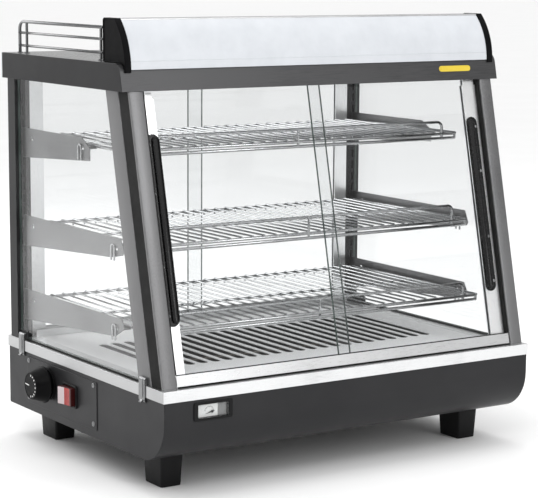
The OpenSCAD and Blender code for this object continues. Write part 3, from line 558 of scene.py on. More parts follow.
def base_wrap():
    """Folded sheet with louvre slots through its back and the thermometer's window in front."""
    outer, inner = base_path(0), base_path(SHEET)
    slots = sorted(x + d for x in LOUVRES for d in (-LOUVRE_HALF, LOUVRE_HALF))
    half = BASE_X - SHEET
    xs = sorted([-half, half, *slots, *GAUGE_HOLE[:2]])
    # the back's straight run is split at the ends of the slots
    for path, y in ((outer, BASE_Y), (inner, BASE_Y - SHEET)):
        path[1:1] = [(y, 122), (y, 76)]
    verts, faces = [], []
    for path in (outer, inner):
        for p in path:
            verts += [(x, p[0], p[1]) for x in xs]
    n, k = len(xs), len(outer)

    def at(layer, i, j):
        return (layer * k + i) * n + j

    def hole(i, j):
        mid = (xs[j] + xs[j + 1]) / 2
        if i == k - 3:
            return GAUGE_HOLE[0] < mid < GAUGE_HOLE[1]
        return i == 1 and any(abs(mid - x) < LOUVRE_HALF for x in LOUVRES)

    for i in range(k - 1):
        for j in range(n - 1):
            if not hole(i, j):
                for layer in (0, 1):
                    faces.append([at(layer, i, j), at(layer, i, j + 1), at(layer, i + 1, j + 1),
                                  at(layer, i + 1, j)])
            for di, dj, a, b in ((-1, 0, (i, j), (i, j + 1)), (1, 0, (i + 1, j), (i + 1, j + 1)),
                                 (0, -1, (i, j), (i + 1, j)), (0, 1, (i, j + 1), (i + 1, j + 1))):
                ii, jj = i + di, j + dj
                outside = not (0 <= ii < k - 1 and 0 <= jj < n - 1) or hole(ii, jj)
                if outside and not hole(i, j):
                    faces.append([at(0, *a), at(0, *b), at(1, *b), at(1, *a)])
    piece("base_front_and_back", verts, faces, "charcoal_paint", replaces=["base_shell"],
          bevel=0.35, segs=2)


base_wrap()
for s, side in ((-1, "left"), (1, "right")):
    sh = Shape()
    sh.prism(base_path(0), yz, s * (BASE_X - SHEET), s * BASE_X)
    sh.make(f"base_cheek_{side}", "charcoal_paint", replaces=[f"base_side_{side}"], bevel=0.4)

# louvre hoods pressed out of the back
sh = Shape()
for x in LOUVRES:
    prof = [(x - 2.6, BASE_Y - 0.2), (x + 2.9, BASE_Y - 0.2), (x + 2.9, BASE_Y + 1.1),
            (x + 2.0, BASE_Y + 1.9), (x - 2.0, BASE_Y + 0.3)]
    sh.loft([[(u, w * (1 - k) + (BASE_Y - 0.2) * k, z) for u, w in prof]
             for z, k in ((75, 0.9), (78, 0.1), (80, 0), (118, 0), (120, 0.1), (123, 0.9))])
sh.make("back_louvres", "charcoal_paint", bevel=0.15, segs=1)

# feet: tapered blocks with rounded corners and a moulded sole
sh = Shape()
FOOT_SPOTS = [(x, y) for x in (-274.5, 274.5) for y in (-145.5, 186.5)]
for x, y in FOOT_SPOTS:
    rings = []
    for z, g in ((0.0, -1.4), (0.5, -0.4), (1.6, 0.0), (50.6, 3.0), (51.6, 2.9), (52.0, 2.4)):
        w, l = 16.8 + g * 0.66, 24.0 + g
        o = rounded([(-w, -l), (w, -l), (w, l), (-w, l)], 3.4, 5)
        rings.append([(x + u, y + v, z) for u, v in o])
    sh.loft(rings)
    sh.tube([(x, y, 50), (x, y, 59.5)], 3, 16, dome=False)
    sh.lathe([(0.5, 52), (8, 52), (8, 53.0), (7.4, 53.4), (0.5, 53.4)], (x, y, 1.4),
             (0, 0, 1), 24)
sh.make("foot_blocks", "black_plastic", slot="black_plastic", replaces=["feet"])


# ---------------------------------------------------------------- roof
def roof_path(e):
    """Side outline of the roof: back, top, rolled front corner and leaning fascia."""
    o = [(238.2 - e, ZR0), (238.2 - e, ZR1 - e), (lean_y(-1.6, ZR1) + e, ZR1 - e),
         (lean_y(-1.6, ZR0) + e, ZR0)]
    return rounded(o, [0, 1.6 - e, 15 - e, 0], 6)


# the flat top lies between the rounded back corner and the rolled front corner
TOP_FACE = 7


def open_shell(name, outer, inner, xo, xi, mats, **kw):
    """Sheet cover open below: outer and inner side outlines, between the two cheeks."""
    k = len(outer)
    verts = []
    for path, x in ((outer, xo), (inner, xi)):
        for sgn in (-1, 1):
            verts += [(sgn * x, p[0], p[1]) for p in path]
    faces = []
    for layer in (0, 2):
        a, b = layer * k, (layer + 1) * k
        for i in range(k - 1):
            faces.append([a + i, a + i + 1, b + i + 1, b + i])
        faces.append([a + i for i in range(k)])
        faces.append([b + i for i in range(k)])
    for o, i in ((0, 2), (1, 3)):
        faces.append([o * k, i * k, i * k + k - 1, o * k + k - 1])
    faces.append([0, k, 3 * k, 2 * k])
    faces.append([k - 1, 2 * k - 1, 4 * k - 1, 3 * k - 1])
    # the fascia in front and the flat top have finishes of their own
    kinds = [1 if k - 6 <= i < k - 1 else 2 if i == TOP_FACE else 0 for i in range(len(faces))]
    return piece(name, verts, faces, mats, face_mats=kinds, **kw)


open_shell("roof_cover", roof_path(0), roof_path(SHEET), ROOF_X, ROOF_X - SHEET,
           ["roof_paint", "fascia_paint", "roof_top"], slot="charcoal_paint",
           replaces=["roof_cap"], bevel=0.7, segs=3, angle=24)
sh = Shape()
for s in (-1, 1):
    xs = sorted((s * (OUTSIDE + 0.6), s * (ROOF_X - SHEET)))
    sh.box((xs[0], lean_y(-0.2, ZR0 + SHEET), ZR0 + 0.02), (xs[1], POST_Y0 - 0.6, ZR0 + SHEET))
    xs = sorted((s * (POST_OUT + 0.6), s * (ROOF_X - SHEET)))
    sh.box((xs[0], POST_Y0 - 0.6, ZR0 + 0.02), (xs[1], 236.8, ZR0 + SHEET))
sh.make("roof_returns", "roof_paint", slot="charcoal_paint", bevel=0.2, segs=1)

# ---------------------------------------------------------------- front pillars
# section of the right pillar: x, and depth behind the leaning face
pillar = [(OUTSIDE - 22.7, 0), (OUTSIDE, 0), (OUTSIDE, 4), (OUTSIDE - 1.7, 4),
          (OUTSIDE - 1.7, 31.5), (OUTSIDE, 31.5), (OUTSIDE, 67), (OUTSIDE - 1.5, 67),
          (OUTSIDE - 1.5, 33.2), (OUTSIDE - 7.4, 33.2), (OUTSIDE - 7.4, 46), (OUTSIDE - 9, 46),
          (OUTSIDE - 9, 31.7), (OUTSIDE - 3.2, 31.7), (OUTSIDE - 3.2, 1.5),
          (OUTSIDE - 21.2, 1.5), (OUTSIDE - 21.2, 7), (OUTSIDE - 22.7, 7)]
radii = [1.3, 1.3, 0.5, 0.4, 0.4, 0.9, 0.5, 0.5, 0.4, 0.4, 0.4, 0.4, 0.6, 0.4, 0.4, 0.4, 0.4, 0.4]
for s, side in ((-1, "left"), (1, "right")):
    o = rounded(pillar, radii, 3)
    levels = [Z2, Z2 + 0.6] + [Z2 + 60 * i for i in range(1, 7)] + [ZR0 + 22]
    sh = Shape()
    sh.loft([[(s * x, lean_y(n, z), z) for x, n in o] for z in levels])
    sh.make(f"pillar_{side}", "pillar_paint", replaces=[f"front_pillar_{side}"])


# ---------------------------------------------------------------- glass panes
def pane(name, corners, thick, body, replaces):
    """Glass pane from four corners and a thickness vector: clear faces, dark polished edges."""
    a = [Vector(c) for c in corners]
    t = Vector(thick)
    cen = sum(a, Vector()) / 4
    arris = 0.35
    inner = [c + (cen - c).normalized() * arris * 1.4 for c in a]
    tn = t.normalized() * arris
    rings = [[tuple(p) for p in inner], [tuple(p + tn) for p in a],
             [tuple(p + t - tn) for p in a], [tuple(p + t) for p in inner]]
    sh = Shape()
    sh.loft(rings)
    mats = [1] * 12 + [0, 0]
    piece(name, sh.v, sh.f, ["clear_glass", "glass_edge"], body=body, slot="clear_glass",
          replaces=replaces, face_mats=mats)


def leaning_pane(name, x0, x1, s0, s1, n0, n1, body, replaces):
    c = [lean(x0, s0, n0), lean(x1, s0, n0), lean(x1, s1, n0), lean(x0, s1, n0)]
    d = Vector(lean(x0, s0, n1)) - Vector(lean(x0, s0, n0))
    pane(name, c, d, body, replaces)


# a black strip at the foot of the front track as painted shadow for the gap under it, a black seal
# along the top of the track's lip, then the panes
LIP = 17.5
lo, hi = nbox("front_bottom_track")
lip_y = lo[1] + LIP * TT
sh = Shape()
# painted shadow: dark strip along the track's foot
sh.box((lo[0] + 1, lo[1] - 1, lo[2] + 0.02), (hi[0] - 1, lo[1] - 0.02, lo[2] + 2.4))
sh.box((lo[0] + 1, lip_y + 0.1, lo[2] + LIP + 0.02), (hi[0] - 1, lip_y + 1.3, lo[2] + LIP + 1.2))
piece("front_track_seal", sh.v, sh.f, "seal_rubber")

leaning_pane("front_pane_left", -299.8, 16, 9.2, 433, -26, -30, "front_door_left",
             ["front_door_left_glass"])
leaning_pane("front_pane_right", -16, 299.8, 5.9, 429.5, -11, -15, "front_door_right",
             ["front_door_right_glass"])
for name, x0, x1, y in (("rear_door_left_glass", -299.8, 18, 224),
                        ("rear_door_right_glass", -18, 299.8, 209.5)):
    za, zb = Z2 + 2, ZR0 + 7.5
    pane(name.replace("_glass", "_pane"), [(x0, y, za), (x1, y, za), (x1, y, zb), (x0, y, zb)],
         (0, 4, 0), name.replace("_glass", ""), [name])
for s, side in ((-1, "left"), (1, "right")):
    x = s * (OUTSIDE - 5.6)
    za, zb = Z2 + 2.2, ZR0 + 8
    pane(f"side_pane_{side}", [(x, lean_y(34, za), za), (x, POST_Y0 - 0.5, za),
                               (x, POST_Y0 - 0.5, zb), (x, lean_y(34, zb), zb)],
         (s * 4, 0, 0), "cabinet", [f"side_glass_{side}"])

# ---------------------------------------------------------------- header
HALF = nbox("header_cap_right")[1][0]
CAP = 10.4
HT = nbox("header_cap_right")[1][2]
HY, HZ, HR = -40.2, 600.6, 101.9
REAR_Y, TOE = -77, 598


def on_arc(r, degrees):
    """Point (y, z) on a circle of radius r about the header's centre."""
    a = math.radians(degrees)
    return HY + r * math.cos(a), HZ + r * math.sin(a)


def header_outline(k=22):
    """Side outline of an end cap: back, top, round front, then over the roof's front corner."""
    arc = [on_arc(HR, 134.25 + i * 47.21 / k) for i in range(k + 1)]
    return [(REAR_Y, ZR1 + 0.1), (REAR_Y, HT - 3), (REAR_Y - 1, HT - 0.8), (REAR_Y - 3, HT),
            *arc, (lean_y(-1.6, TOE) - 0.1, TOE), *roof_path(-0.1)[14:7:-1]]


for s, side in ((-1, "left"), (1, "right")):
    sh = Shape()
    o = header_outline()
    sh.prism(o, yz, s * (HALF - CAP), s * (HALF - 0.9))
    cy, cz = -106, 641
    sh.make(f"header_end_{side}", "cap_plastic", slot="black_plastic",
            replaces=[f"header_cap_{side}"], bevel=1.1, segs=3, angle=25)
    # raised rim round the outside of the end cap
    rim = Shape()
    rim.loft([[(s * (HALF - sunk), cy + (u - cy) * size, cz + (v - cz) * size) for u, v in o]
              for size, sunk in ((1, 1.2), (0.985, 0), (0.93, 0), (0.91, 1.2))], closed=True)
    rim.make(f"header_end_rim_{side}", "cap_plastic", slot="black_plastic")

sh = Shape()
half = HALF - CAP - 0.1
PANEL_TOP, PANEL_TOE, PANEL_STEPS = 134.45, 179.05, 30
turns = [PANEL_TOP + i * (PANEL_TOE - PANEL_TOP) / PANEL_STEPS for i in range(PANEL_STEPS + 1)]
sh.prism([on_arc(HR - 2, a) for a in turns] + [on_arc(HR - 3.2, a) for a in turns[::-1]],
         yz, -half, half)
sh.make("header_panel", "white_diffuser", replaces=["header_diffuser"], bevel=0.3, segs=2, angle=50)
# bead along the lower edge and thin lip along the top of the light panel
sh = Shape()
bead = on_arc(HR - 2.1, 172.3)
sh.tube([(-half + 0.5, *bead), (half - 0.5, *bead)], 0.5, 8)
sh.make("header_bead", "white_diffuser")
sh = Shape()
y, z = on_arc(HR - 2, PANEL_TOP)
sh.prism(rounded([(y - 1.6, z - 1.4), (y - 0.8, z + 1.0), (y + 8, z + 1.3), (y + 8, z + 0.7),
                  (y + 0.6, z - 0.6)], 0.3, 3), yz, -half, half)
sh.make("header_top_lip", "satin_aluminium")

# ---------------------------------------------------------------- gallery rails
RAIL_X, RAIL_TOP, RAIL_REAR = 318, 659, 217
RAIL_WIRES = (642, 622.5)
RAIL_POSTS = (-46, 193)
for s, side in ((-1, "left"), (1, "right")):
    x = s * RAIL_X
    sh = Shape()
    sh.tube(bend([(x, -49.6, RAIL_TOP), (x, RAIL_REAR, RAIL_TOP), (x, RAIL_REAR, ZR1)], 12, 8),
            2.5, 14)
    for y in RAIL_POSTS:
        sh.tube([(x, y, ZR1), (x, y, RAIL_TOP - 0.4)], 2.1, 12, dome=False)
    for z in RAIL_WIRES:
        sh.tube([(x, -49.6, z), (x, RAIL_REAR - 0.5, z)], 2.0, 12)
    for y in (*RAIL_POSTS, RAIL_REAR):
        sh.lathe([(2.6, 0), (4.6, 0), (4.6, 0.5), (3.2, 1.5), (2.6, 1.7)], (x, y, ZR1),
                 (0, 0, 1), 20)
        for z in RAIL_WIRES:
            sh.lathe([(0.3, -2.9), (1.6, -2.6), (2.7, -1), (2.9, 0), (2.7, 1), (1.6, 2.6),
                      (0.3, 2.9)], (x, y, z), (0, 1, 0), 14)
    sh.make(f"gallery_wires_{side}", "rail_wire", slot="chrome_wire",
            replaces=[f"gallery_rail_{side}"])

# ---------------------------------------------------------------- shelves
# from the top shelf down: level, front edge, height of the guard and depth of the hooks
LEVELS = (483, 346, 228.5)
FRONTS = (-85, -116, -148)
GUARDS = (18, 24, 20)
HOOKS = (20, -80, -82)
REAR = 188
W = 304
HOOK_X = 319.8
WIRES = 29


def rack(i):
    """Wire shelf number i with its guard, hooks and weld spots."""
    L, f, g = LEVELS[i], FRONTS[i], LEVELS[i] + GUARDS[i]
    sh = Shape()
    for s in (-1, 1):
        sh.tube([(s * W, f - 1.5, L), (s * W, REAR + 0.5, L)], 2.5, 12)
        sh.tube([(s * W, f, L - 9), (s * W, f, L + 0.5)], 2.2, 10)
        # hanger: over the bracket plate and down its outer side as an inverted U
        h = HOOKS[i]
        sh.tube([(s * W, h, L), (s * (HOOK_X - 0.8), h, L)], 1.8, 10)
        sh.tube(bend([(s * HOOK_X, h + 4.6, L - 21), (s * HOOK_X, h + 4.6, L + 1.5),
                      (s * HOOK_X, h - 4.6, L + 1.5), (s * HOOK_X, h - 4.6, L - 21)], 3.6), 1.5, 10)
    sh.tube(bend([(-278, f, L - 9.5), (-278, f, g), (278, f, g), (278, f, L - 9.5)], 9, 8), 2.2, 12)
    sh.tube([(0, f, L - 9), (0, f, g)], 2.0, 10)
    sh.tube([(-W, f, L - 1), (W, f, L - 1)], 2.5, 12)
    sh.tube([(-W, f, L - 8), (W, f, L - 8)], 2.5, 12)
    sh.tube([(-W + 1.2, REAR, L - 1), (W - 1.2, REAR, L - 1)], 2.5, 12)
    mid = (f + REAR) / 2
    sh.tube([(-W + 1.2, mid, L - 1.9), (W - 1.2, mid, L - 1.9)], 2.0, 10)
    for j in range(WIRES):
        x = (j - (WIRES - 1) / 2) * 2 * W / (WIRES + 1)
        dx = random.uniform(-0.35, 0.35)
        sag = random.uniform(1.1, 1.3)
        sh.tube(bend([(x, f - 1.0, L + 2.1), (x + dx, mid, L + sag), (x, REAR - 3, L + 2.3),
                      (x, REAR + 1.4, L + 2.3), (x, REAR + 1.4, L - 7)], 2.6, 4), 1.5, 8)
        # weld spots where the wire crosses the bars
        for y in (f, REAR):
            sh.lathe([(0.2, -1.6), (1.5, -1.1), (1.95, 0), (1.5, 1.1), (0.2, 1.6)],
                     (x, y, L - 0.7), (0, 1, 0), 8)
    sh.make(f"wire_shelf_{i + 1}", "chrome_wire", replaces=[f"shelf_{i + 1}_rack"])


for i in range(3):
    rack(i)

# ---------------------------------------------------------------- front door handles and screws
MID = (381 - Z2) / CT
SCREWS = (-0.47, -0.2, 0.2, 0.47)


def handle(side, s, set_back, body):
    """Moulded grip with its four screws, on a front door that lies set_back behind the face."""
    base = -set_back + 1.8
    sh = Shape()

    def layer(w, l, off, h):
        return [lean(s * (285 - off - u), MID + v, base + h)
                for u, v in stadium(w, l, 10)]

    sh.loft([layer(19.0, 275.0, 0, 0.0), layer(20, 276, 0, 0.5), layer(20, 276, 0, 1.9),
             layer(19.4, 275.4, 0, 2.4), layer(18.4, 274.4, 0, 2.6), layer(18, 274, 0, 2.6)])
    g = 3.2
    sh.loft([layer(12.4, 268, g, 2.4), layer(12.2, 267.8, g, 4.5), layer(11.4, 267.0, g, 5.3),
             layer(10.4, 266.0, g, 5.6), layer(9.2, 264.8, g, 5.5), layer(8.0, 263.6, g, 4.9),
             layer(7.2, 262.8, g, 3.9), layer(6.4, 262.0, g, 3.6)])
    sh.make(f"front_handle_{side}", "handle_plastic", body=body, slot="black_plastic",
            replaces=[f"front_door_{side}_handle"])
    sc = Shape()
    for k in SCREWS:
        c = lean(s * 291.4, MID + k * 260, base + 2.5)
        ax = Vector(lean(0, 0, 1)) - Vector(lean(0, 0, 0))
        sc.lathe([(0.2, -2), (1.1, -2), (1.1, 0), (2.5, 0), (2.5, 0.25), (2.2, 0.75), (1.5, 1.1),
                  (0.7, 1.2), (0.45, 0.75), (0.1, 0.7)], c, tuple(ax), 20)
    sc.make(f"front_handle_screws_{side}", "spring_steel", body=body,
            replaces=[f"front_door_{side}_screws"])


handle("left", -1, 26, "front_door_left")
handle("right", 1, 11, "front_door_right")

# ---------------------------------------------------------------- thermostat knob
PX = -BASE_X - SHEET
KY, KZ = 106.5, 107.3
sh = Shape()
sh.lathe([(0.5, 0), (24.4, 0), (25, 0.5), (25, 1.7), (24.5, 2.3), (24.1, 2.5), (24.6, 3.3),
          (28.4, 7.9), (29, 8.7), (29, 9.7), (28.6, 10.3), (27.7, 10.6), (27.3, 11.0),
          (21.5, 29.1), (21.1, 29.9), (20.3, 30.5), (19.4, 30.7), (18.6, 30.6), (18.3, 30.3),
          (0.5, 30.3)], (PX - 0.8, KY, KZ), (-1, 0, 0), 96)
sh.make("thermostat_grip", "knob_plastic", body="knob", slot="black_plastic",
        replaces=["thermostat_knob"])


def dash(sh, r0, r1, w, deg, x0, x1):
    """Thin printed mark on the knob's face, from radius r0 to r1 at an angle from the rear."""
    a = math.radians(deg)
    u, v = Vector((0, math.cos(a), math.sin(a))), Vector((0, -math.sin(a), math.cos(a)))
    c = Vector((0, KY, KZ))
    o = [c + u * r0 - v * w, c + u * r1 - v * w, c + u * r1 + v * w, c + u * r0 + v * w]
    sh.loft([[(x0, p.y, p.z) for p in o], [(x1, p.y, p.z) for p in o]])


sh = Shape()
for i in range(9):
    dash(sh, 15.4 if i % 2 else 14.9, 17.6, 1.0, 95 + i * 21.5, PX - 31.0, PX - 31.25)
dash(sh, 5.0, 17.2, 0.8, 4, PX - 31.0, PX - 31.25)
sh.make("thermostat_marks", "knob_print", body="knob", slot="dial_white")

# ---------------------------------------------------------------- rocker switch
SY, SZ = 34, 103.5


def frame_ring(w, l, r, place, at, k=5):
    return [place(u, v, at) for u, v in
            rounded([(-w / 2, -l / 2), (w / 2, -l / 2), (w / 2, l / 2), (-w / 2, l / 2)], r, k)]


def switch_at(u, v, t):
    return (t, SY + u, SZ + v)


sh = Shape()
rings = []
for w, l, rad, out in ((44.6, 33.6, 3.4, 0.2), (46, 35, 4.0, -0.6), (46, 35, 4.0, -1.8),
                       (45.0, 34.0, 3.6, -2.8), (43.4, 32.4, 3.2, -3.0), (40.6, 29.8, 2.4, -3.0),
                       (39.4, 28.6, 2.0, -2.4), (39.1, 28.2, 1.8, 12), (41.8, 32.6, 1.6, 12),
                       (41.8, 32.6, 1.6, 0.2)):
    rings.append(frame_ring(w, l, rad, switch_at, PX + out))
sh.loft(rings, closed=True)
sh.make("switch_bezel", "black_plastic", replaces=["switch_housing"])

RX, TILT = -328, math.radians(10)
prof = [(-14.6 - 1.8 * t * t, 16.3 * t) for t in (-1 + i / 8 for i in range(17))]
key = rounded([(6, -8), (-1, -16.3), *prof, (-1, 16.3), (6, 8)],
              [1, 1] + [1.2] + [0] * 15 + [1.2] + [1, 1], 4)


def rocker_at(u, v, t):
    c, s = math.cos(TILT), math.sin(TILT)
    return (RX + u * c - v * s, SY + u * s + v * c, SZ + t)


sh = Shape()
rings = []
for t, g in ((-13.5, 0.7), (-13.1, 0.2), (-12.5, 0), (12.5, 0), (13.1, 0.2), (13.5, 0.7)):
    rings.append([rocker_at(u * (1 - g * 0.03), v * (1 - g * 0.03), t) for u, v in key])
sh.loft(rings)
# painted shade on the ends and a painted highlight on the rear half: the third and the second
# material
sh.m = []
for f in sh.f:
    c = sum((Vector(sh.v[i]) for i in f), Vector()) / len(f)
    painted_shade = c.y < SY - 14.5 or abs(c.z - SZ) > 12.9
    sh.m.append(2 if painted_shade else 1 if c.y > SY - 1.2 and c.x < RX - 12 else 0)
sh.tube([(RX, SY, SZ - 15.4), (RX, SY, SZ + 15.4)], 2, 20, dome=False)
sh.make("rocker_cap", ["red_plastic", "rocker_clear", "rocker_end"], body="rocker_key",
        slot="red_plastic", replaces=["rocker"])

# ---------------------------------------------------------------- thermometer
GX, GZ = -250.4, 126.5
GF = -BASE_Y - 2.2


def gauge_at(u, v, t):
    return (GX + u, t, GZ + v)


sh = Shape()
sh.loft([frame_ring(w, l, rad, gauge_at, y) for w, l, rad, y in (
    (63.4, 25.8, 2.6, -BASE_Y - 0.05), (64.7, 27, 3.2, -BASE_Y - 0.6), (64.7, 27, 3.2, GF + 0.7),
    (63.7, 26, 2.8, GF + 0.15), (62.3, 24.6, 2.4, GF), (52.4, 21.4, 1.8, GF),
    (51.0, 20.2, 1.4, GF + 0.6), (50.0, 19.2, 1.2, GF + 1.6), (50.0, 19.2, 1.2, -BASE_Y + 5.4),
    (59.6, 22, 1.2, -BASE_Y + 5.4), (59.6, 22, 1.2, -BASE_Y - 0.05))], closed=True)
sh.box((GX - 29.8, -BASE_Y + 5.5, GZ - 11), (GX + 29.8, -BASE_Y + 16, GZ + 11))
sh.make("gauge_frame", "black_plastic", replaces=["thermometer_case"])
sh = Shape()
y0, y1 = -BASE_Y + 4.7, -BASE_Y + 5.45
sh.box((GX - 24.9, y0, GZ - 9.5), (-240, y1, GZ + 9.5), 0)
sh.box((-239.98, y0 - 0.25, GZ - 9.5), (GX + 24.9, y1, GZ + 9.5), 1)
NX, NZ = -250, 124
for i in range(13):
    a = math.radians(15 + i * 12.5)
    r0, r1 = (6.8 if i % 3 else 6.0), 8.4
    u = Vector((math.cos(a), 0, math.sin(a)))
    v = Vector((-math.sin(a), 0, math.cos(a))) * 0.22
    c = Vector((NX - 4, 0, NZ))
    o = [c + u * r0 - v, c + u * r1 - v, c + u * r1 + v, c + u * r0 + v]
    sh.loft([[(p.x, y0 - 0.12, p.z) for p in o], [(p.x, y0 + 0.1, p.z) for p in o]], 2)
sh.make("gauge_dial", ["dial_white", "dial_grey", "dial_ink"], replaces=["thermometer_dial"])

# ---------------------------------------------------------------- control plate
sh = Shape()
o = rounded([(-49, 65), (180, 65), (180, 138), (-49, 138)], 1.5, 4)
sh.loft([[(PX + SHEET, u, v) for u, v in o], [(PX + 0.25, u, v) for u, v in o],
         [(PX, 65.5 + (u - 65.5) * 0.9985, 101.5 + (v - 101.5) * 0.995) for u, v in o]])
sh.make("control_cover", "charcoal_paint", replaces=["control_plate"])
sh = Shape()
for y in (-39, 174):
    for z in (73.5, 132):
        sh.lathe([(0.2, -1.2), (1.9, -1.2), (1.9, 0), (3.9, 0), (3.9, 0.35), (3.5, 0.9), (2.5, 1.4),
                  (1.3, 1.6), (0.8, 1.0), (0.1, 0.9)], (PX, y, z), (-1, 0, 0), 24)
sh.make("cover_screws", "spring_steel", replaces=["panel_screws"])


# ---------------------------------------------------------------- hold-down clips
def strap(sh, path, t, ya, yb, mirror_x=1):
    """Bent strip: (x, z) path of its middle, thickness t, from ya to yb."""
    p = [Vector(q).xy for q in path]
    left, right = [], []
    for i in range(len(p)):
        d = (p[min(i + 1, len(p) - 1)] - p[max(i - 1, 0)]).normalized()
        nrm = Vector((-d.y, d.x)) * t / 2
        left.append(p[i] + nrm)
        right.append(p[i] - nrm)
    o = [(q.x, q.y) for q in left + right[::-1]]
    sh.prism(o, lambda u, v, w: (mirror_x * u, w, v), ya, yb)


CLIP_SPOTS = (-187, 197)
CLIP_TOP = Z2 + 10.8
# middle line of the two outer straps, and of the raised rib between them, as x and z
STRAP = bend([(OUTSIDE - 1.3, CLIP_TOP, 0), (RIM_X - 1.0, CLIP_TOP + 0.2, 0),
              (RIM_X + 0.9, CLIP_TOP - 2, 0), (RIM_X + 0.9, 141, 0), (RIM_X + 0.2, 137.2, 0),
              (BASE_X - 3.5, 136.8, 0)], 2.2, 5)
RIB = bend([(OUTSIDE - 1.3, CLIP_TOP, 0), (RIM_X - 1.0, CLIP_TOP + 0.2, 0),
            (RIM_X + 1.5, CLIP_TOP - 2.4, 0), (RIM_X + 1.9, 150, 0), (RIM_X + 1.2, 141, 0),
            (RIM_X + 4.0, 136.4, 0), (RIM_X + 4.6, 138.2, 0)], 1.8, 5)
for s, side in ((-1, "left"), (1, "right")):
    sh = Shape()
    for y in CLIP_SPOTS:
        strap(sh, STRAP, 1.1, y - 8.5, y - 3.2, s)
        strap(sh, STRAP, 1.1, y + 3.2, y + 8.5, s)
        strap(sh, RIB, 1.1, y - 3.3, y + 3.3, s)
    sh.make(f"spring_clips_{side}", "spring_steel", bevel=0.2, segs=1, angle=40,
            replaces=["hold_down_clips"] if s < 0 else ())

# ---------------------------------------------------------------- plain badge
sh = Shape()
sb = (ZR0 + 17.5 - Z2) / CT
rows = []
for w, n in ((8.8, 1.62), (9, 1.8), (9, 2.2), (8.4, 2.45), (7.6, 2.5)):
    rows.append([lean(256 + v, sb + u, n) for u, v in stadium(w, 53 + w, 8)])
sh.loft(rows)
sh.make("plain_badge", "yellow_plastic", replaces=["badge"])

# ---------------------------------------------------------------- cable gland
LEAD_X, LEAD_Z = 262, 84
NUT_R = 11.99965
BORE_R = 7.9
GLAND_SEG = 36
sh = Shape()
profile = [(4.3, -13.9), (7.6, -13.9), (8, -13.5), (8, 4.2), (8.9, 4.4), (9, 4.8), (9, 7.6),
           (8.6, 8.6), (7.8, 8.95), (5.4, 8.95), (4.7, 8.7), (4.3, 8.0)]
sh.lathe(profile, (LEAD_X, BASE_Y, LEAD_Z), (0, 1, 0), GLAND_SEG)
# the lead's bore goes right through, so the end caps give way to a wall from first ring to last
sh.f = sh.f[:-2]
last = (len(profile) - 1) * GLAND_SEG
for j in range(GLAND_SEG):
    after = (j + 1) % GLAND_SEG
    sh.f.append([j, after, last + after, last + j])
sh.m = [0] * len(sh.f)
# lock nuts outside and inside the back
SIDES = [math.radians(60 * i) for i in range(6)]
for ya, yb in ((0.02, 4.2), (-6, -SHEET - 0.02)):
    nut = rounded([(LEAD_X + NUT_R * math.cos(a), LEAD_Z + NUT_R * math.sin(a)) for a in SIDES],
                  0.8, 2)
    turns = [math.atan2(v - LEAD_Z, u - LEAD_X) for u, v in nut]
    hole = [(LEAD_X + BORE_R * math.cos(a), LEAD_Z + BORE_R * math.sin(a)) for a in turns]
    sh.loft([[(u, BASE_Y + y, v) for u, v in o]
             for o, y in ((nut, ya), (nut, yb), (hole, yb), (hole, ya))], closed=True)
sh.make("cable_entry_gland", "black_plastic", replaces=["cable_gland"])

# ---------------------------------------------------------------- camera, floor, lights
scene = bpy.context.scene
scene.view_settings.view_transform = "Standard"
scene.cycles.transparent_max_bounces = 32

AZ, EL, ROLL = math.radians(-33.34), math.radians(9.45), math.radians(0.38)
back = Vector((math.sin(AZ) * math.cos(EL), -math.cos(AZ) * math.cos(EL), math.sin(EL)))
right = Vector((math.cos(AZ), math.sin(AZ), 0))
up = back.cross(right)
r2 = right * math.cos(ROLL) + up * math.sin(ROLL)
u2 = up * math.cos(ROLL) - right * math.sin(ROLL)
cam = bpy.data.cameras.new("camera")
cam.sensor_width = 36
cam.lens = 128.84
cam.shift_x = 0.00457
cam.shift_y = 0.0557
cam.clip_start = 0.1
cam.clip_end = 200
cam_ob = bpy.data.objects.new("camera", cam)
target = metres((0, 0, 258.05))
pos = target + back * 3.04233
cam_ob.matrix_world = Matrix((
    (r2.x, u2.x, back.x, pos.x), (r2.y, u2.y, back.y, pos.y), (r2.z, u2.z, back.z, pos.z),
    (0, 0, 0, 1)))
scene.collection.objects.link(cam_ob)
scene.camera = cam_ob

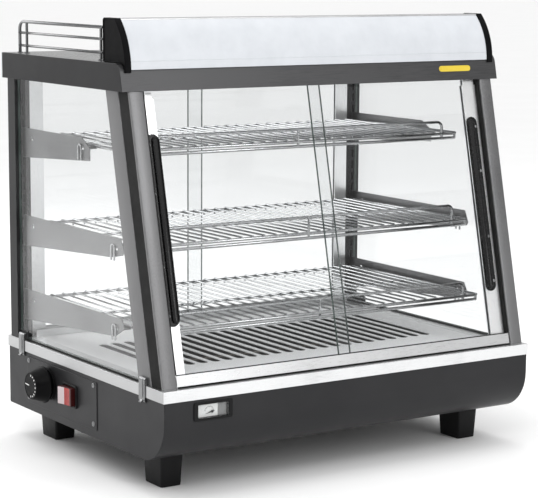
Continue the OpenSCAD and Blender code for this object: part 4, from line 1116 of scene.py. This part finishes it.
me = bpy.data.meshes.new("floor")
F = 40
me.from_pydata([(-F, -F, 0), (F, -F, 0), (F, F, 0), (-F, F, 0)], [], [(0, 1, 2, 3)])
floor = bpy.data.objects.new("floor", me)
scene.collection.objects.link(floor)
m, nt, b = tree("floor")
nt.links.new(tint(nt, noise(nt, 3, detail=3), (0.95, 0.95, 0.95), (0.975, 0.975, 0.975)),
             b.inputs["Base Color"])
b.inputs["Roughness"].default_value = 0.7
b.inputs["Specular IOR Level"].default_value = 0.1
me.materials.append(m)

world = bpy.data.worlds.new("studio")
scene.world = world
world.use_nodes = True
wt = world.node_tree
bg = wt.nodes["Background"]
tc = wt.nodes.new("ShaderNodeTexCoord")
sep = wt.nodes.new("ShaderNodeSeparateXYZ")
wt.links.new(tc.outputs["Generated"], sep.inputs[0])
rmp = wt.nodes.new("ShaderNodeValToRGB")
ELEVATION = ((0.0, 0.95), (0.08, 1.0), (0.22, 0.62), (0.45, 0.50), (0.62, 1.3), (1.0, 1.6))
for i, (place_at, v) in enumerate(ELEVATION):
    stop = rmp.color_ramp.elements[i] if i < 2 else rmp.color_ramp.elements.new(place_at)
    stop.position = place_at
    stop.color = (v, v, v, 1)
wt.links.new(sep.outputs["Z"], rmp.inputs[0])
wt.links.new(rmp.outputs[0], bg.inputs["Color"])
bg.inputs["Strength"].default_value = 0.84
LIGHTS_LOOK_AT = Vector((0, 0, 0.3))


def area(name, at, w, h, power):
    """Rectangular light that faces the case."""
    li = bpy.data.lights.new(name, "AREA")
    li.shape = "RECTANGLE"
    li.size, li.size_y = w, h
    li.energy = power
    ob = bpy.data.objects.new(name, li)
    ob.location = at
    d = LIGHTS_LOOK_AT - Vector(at)
    ob.rotation_euler = d.to_track_quat("-Z", "Y").to_euler()
    scene.collection.objects.link(ob)


area("key", (-1.9, -2.0, 2.3), 1.4, 1.2, 18.5)
area("fill", (1.0, -3.2, 1.5), 0.9, 1.2, 22)
area("top", (0, 0.2, 2.8), 2.4, 1.8, 18)
area("rim", (-1.0, 2.6, 1.3), 2.2, 1.2, 24)
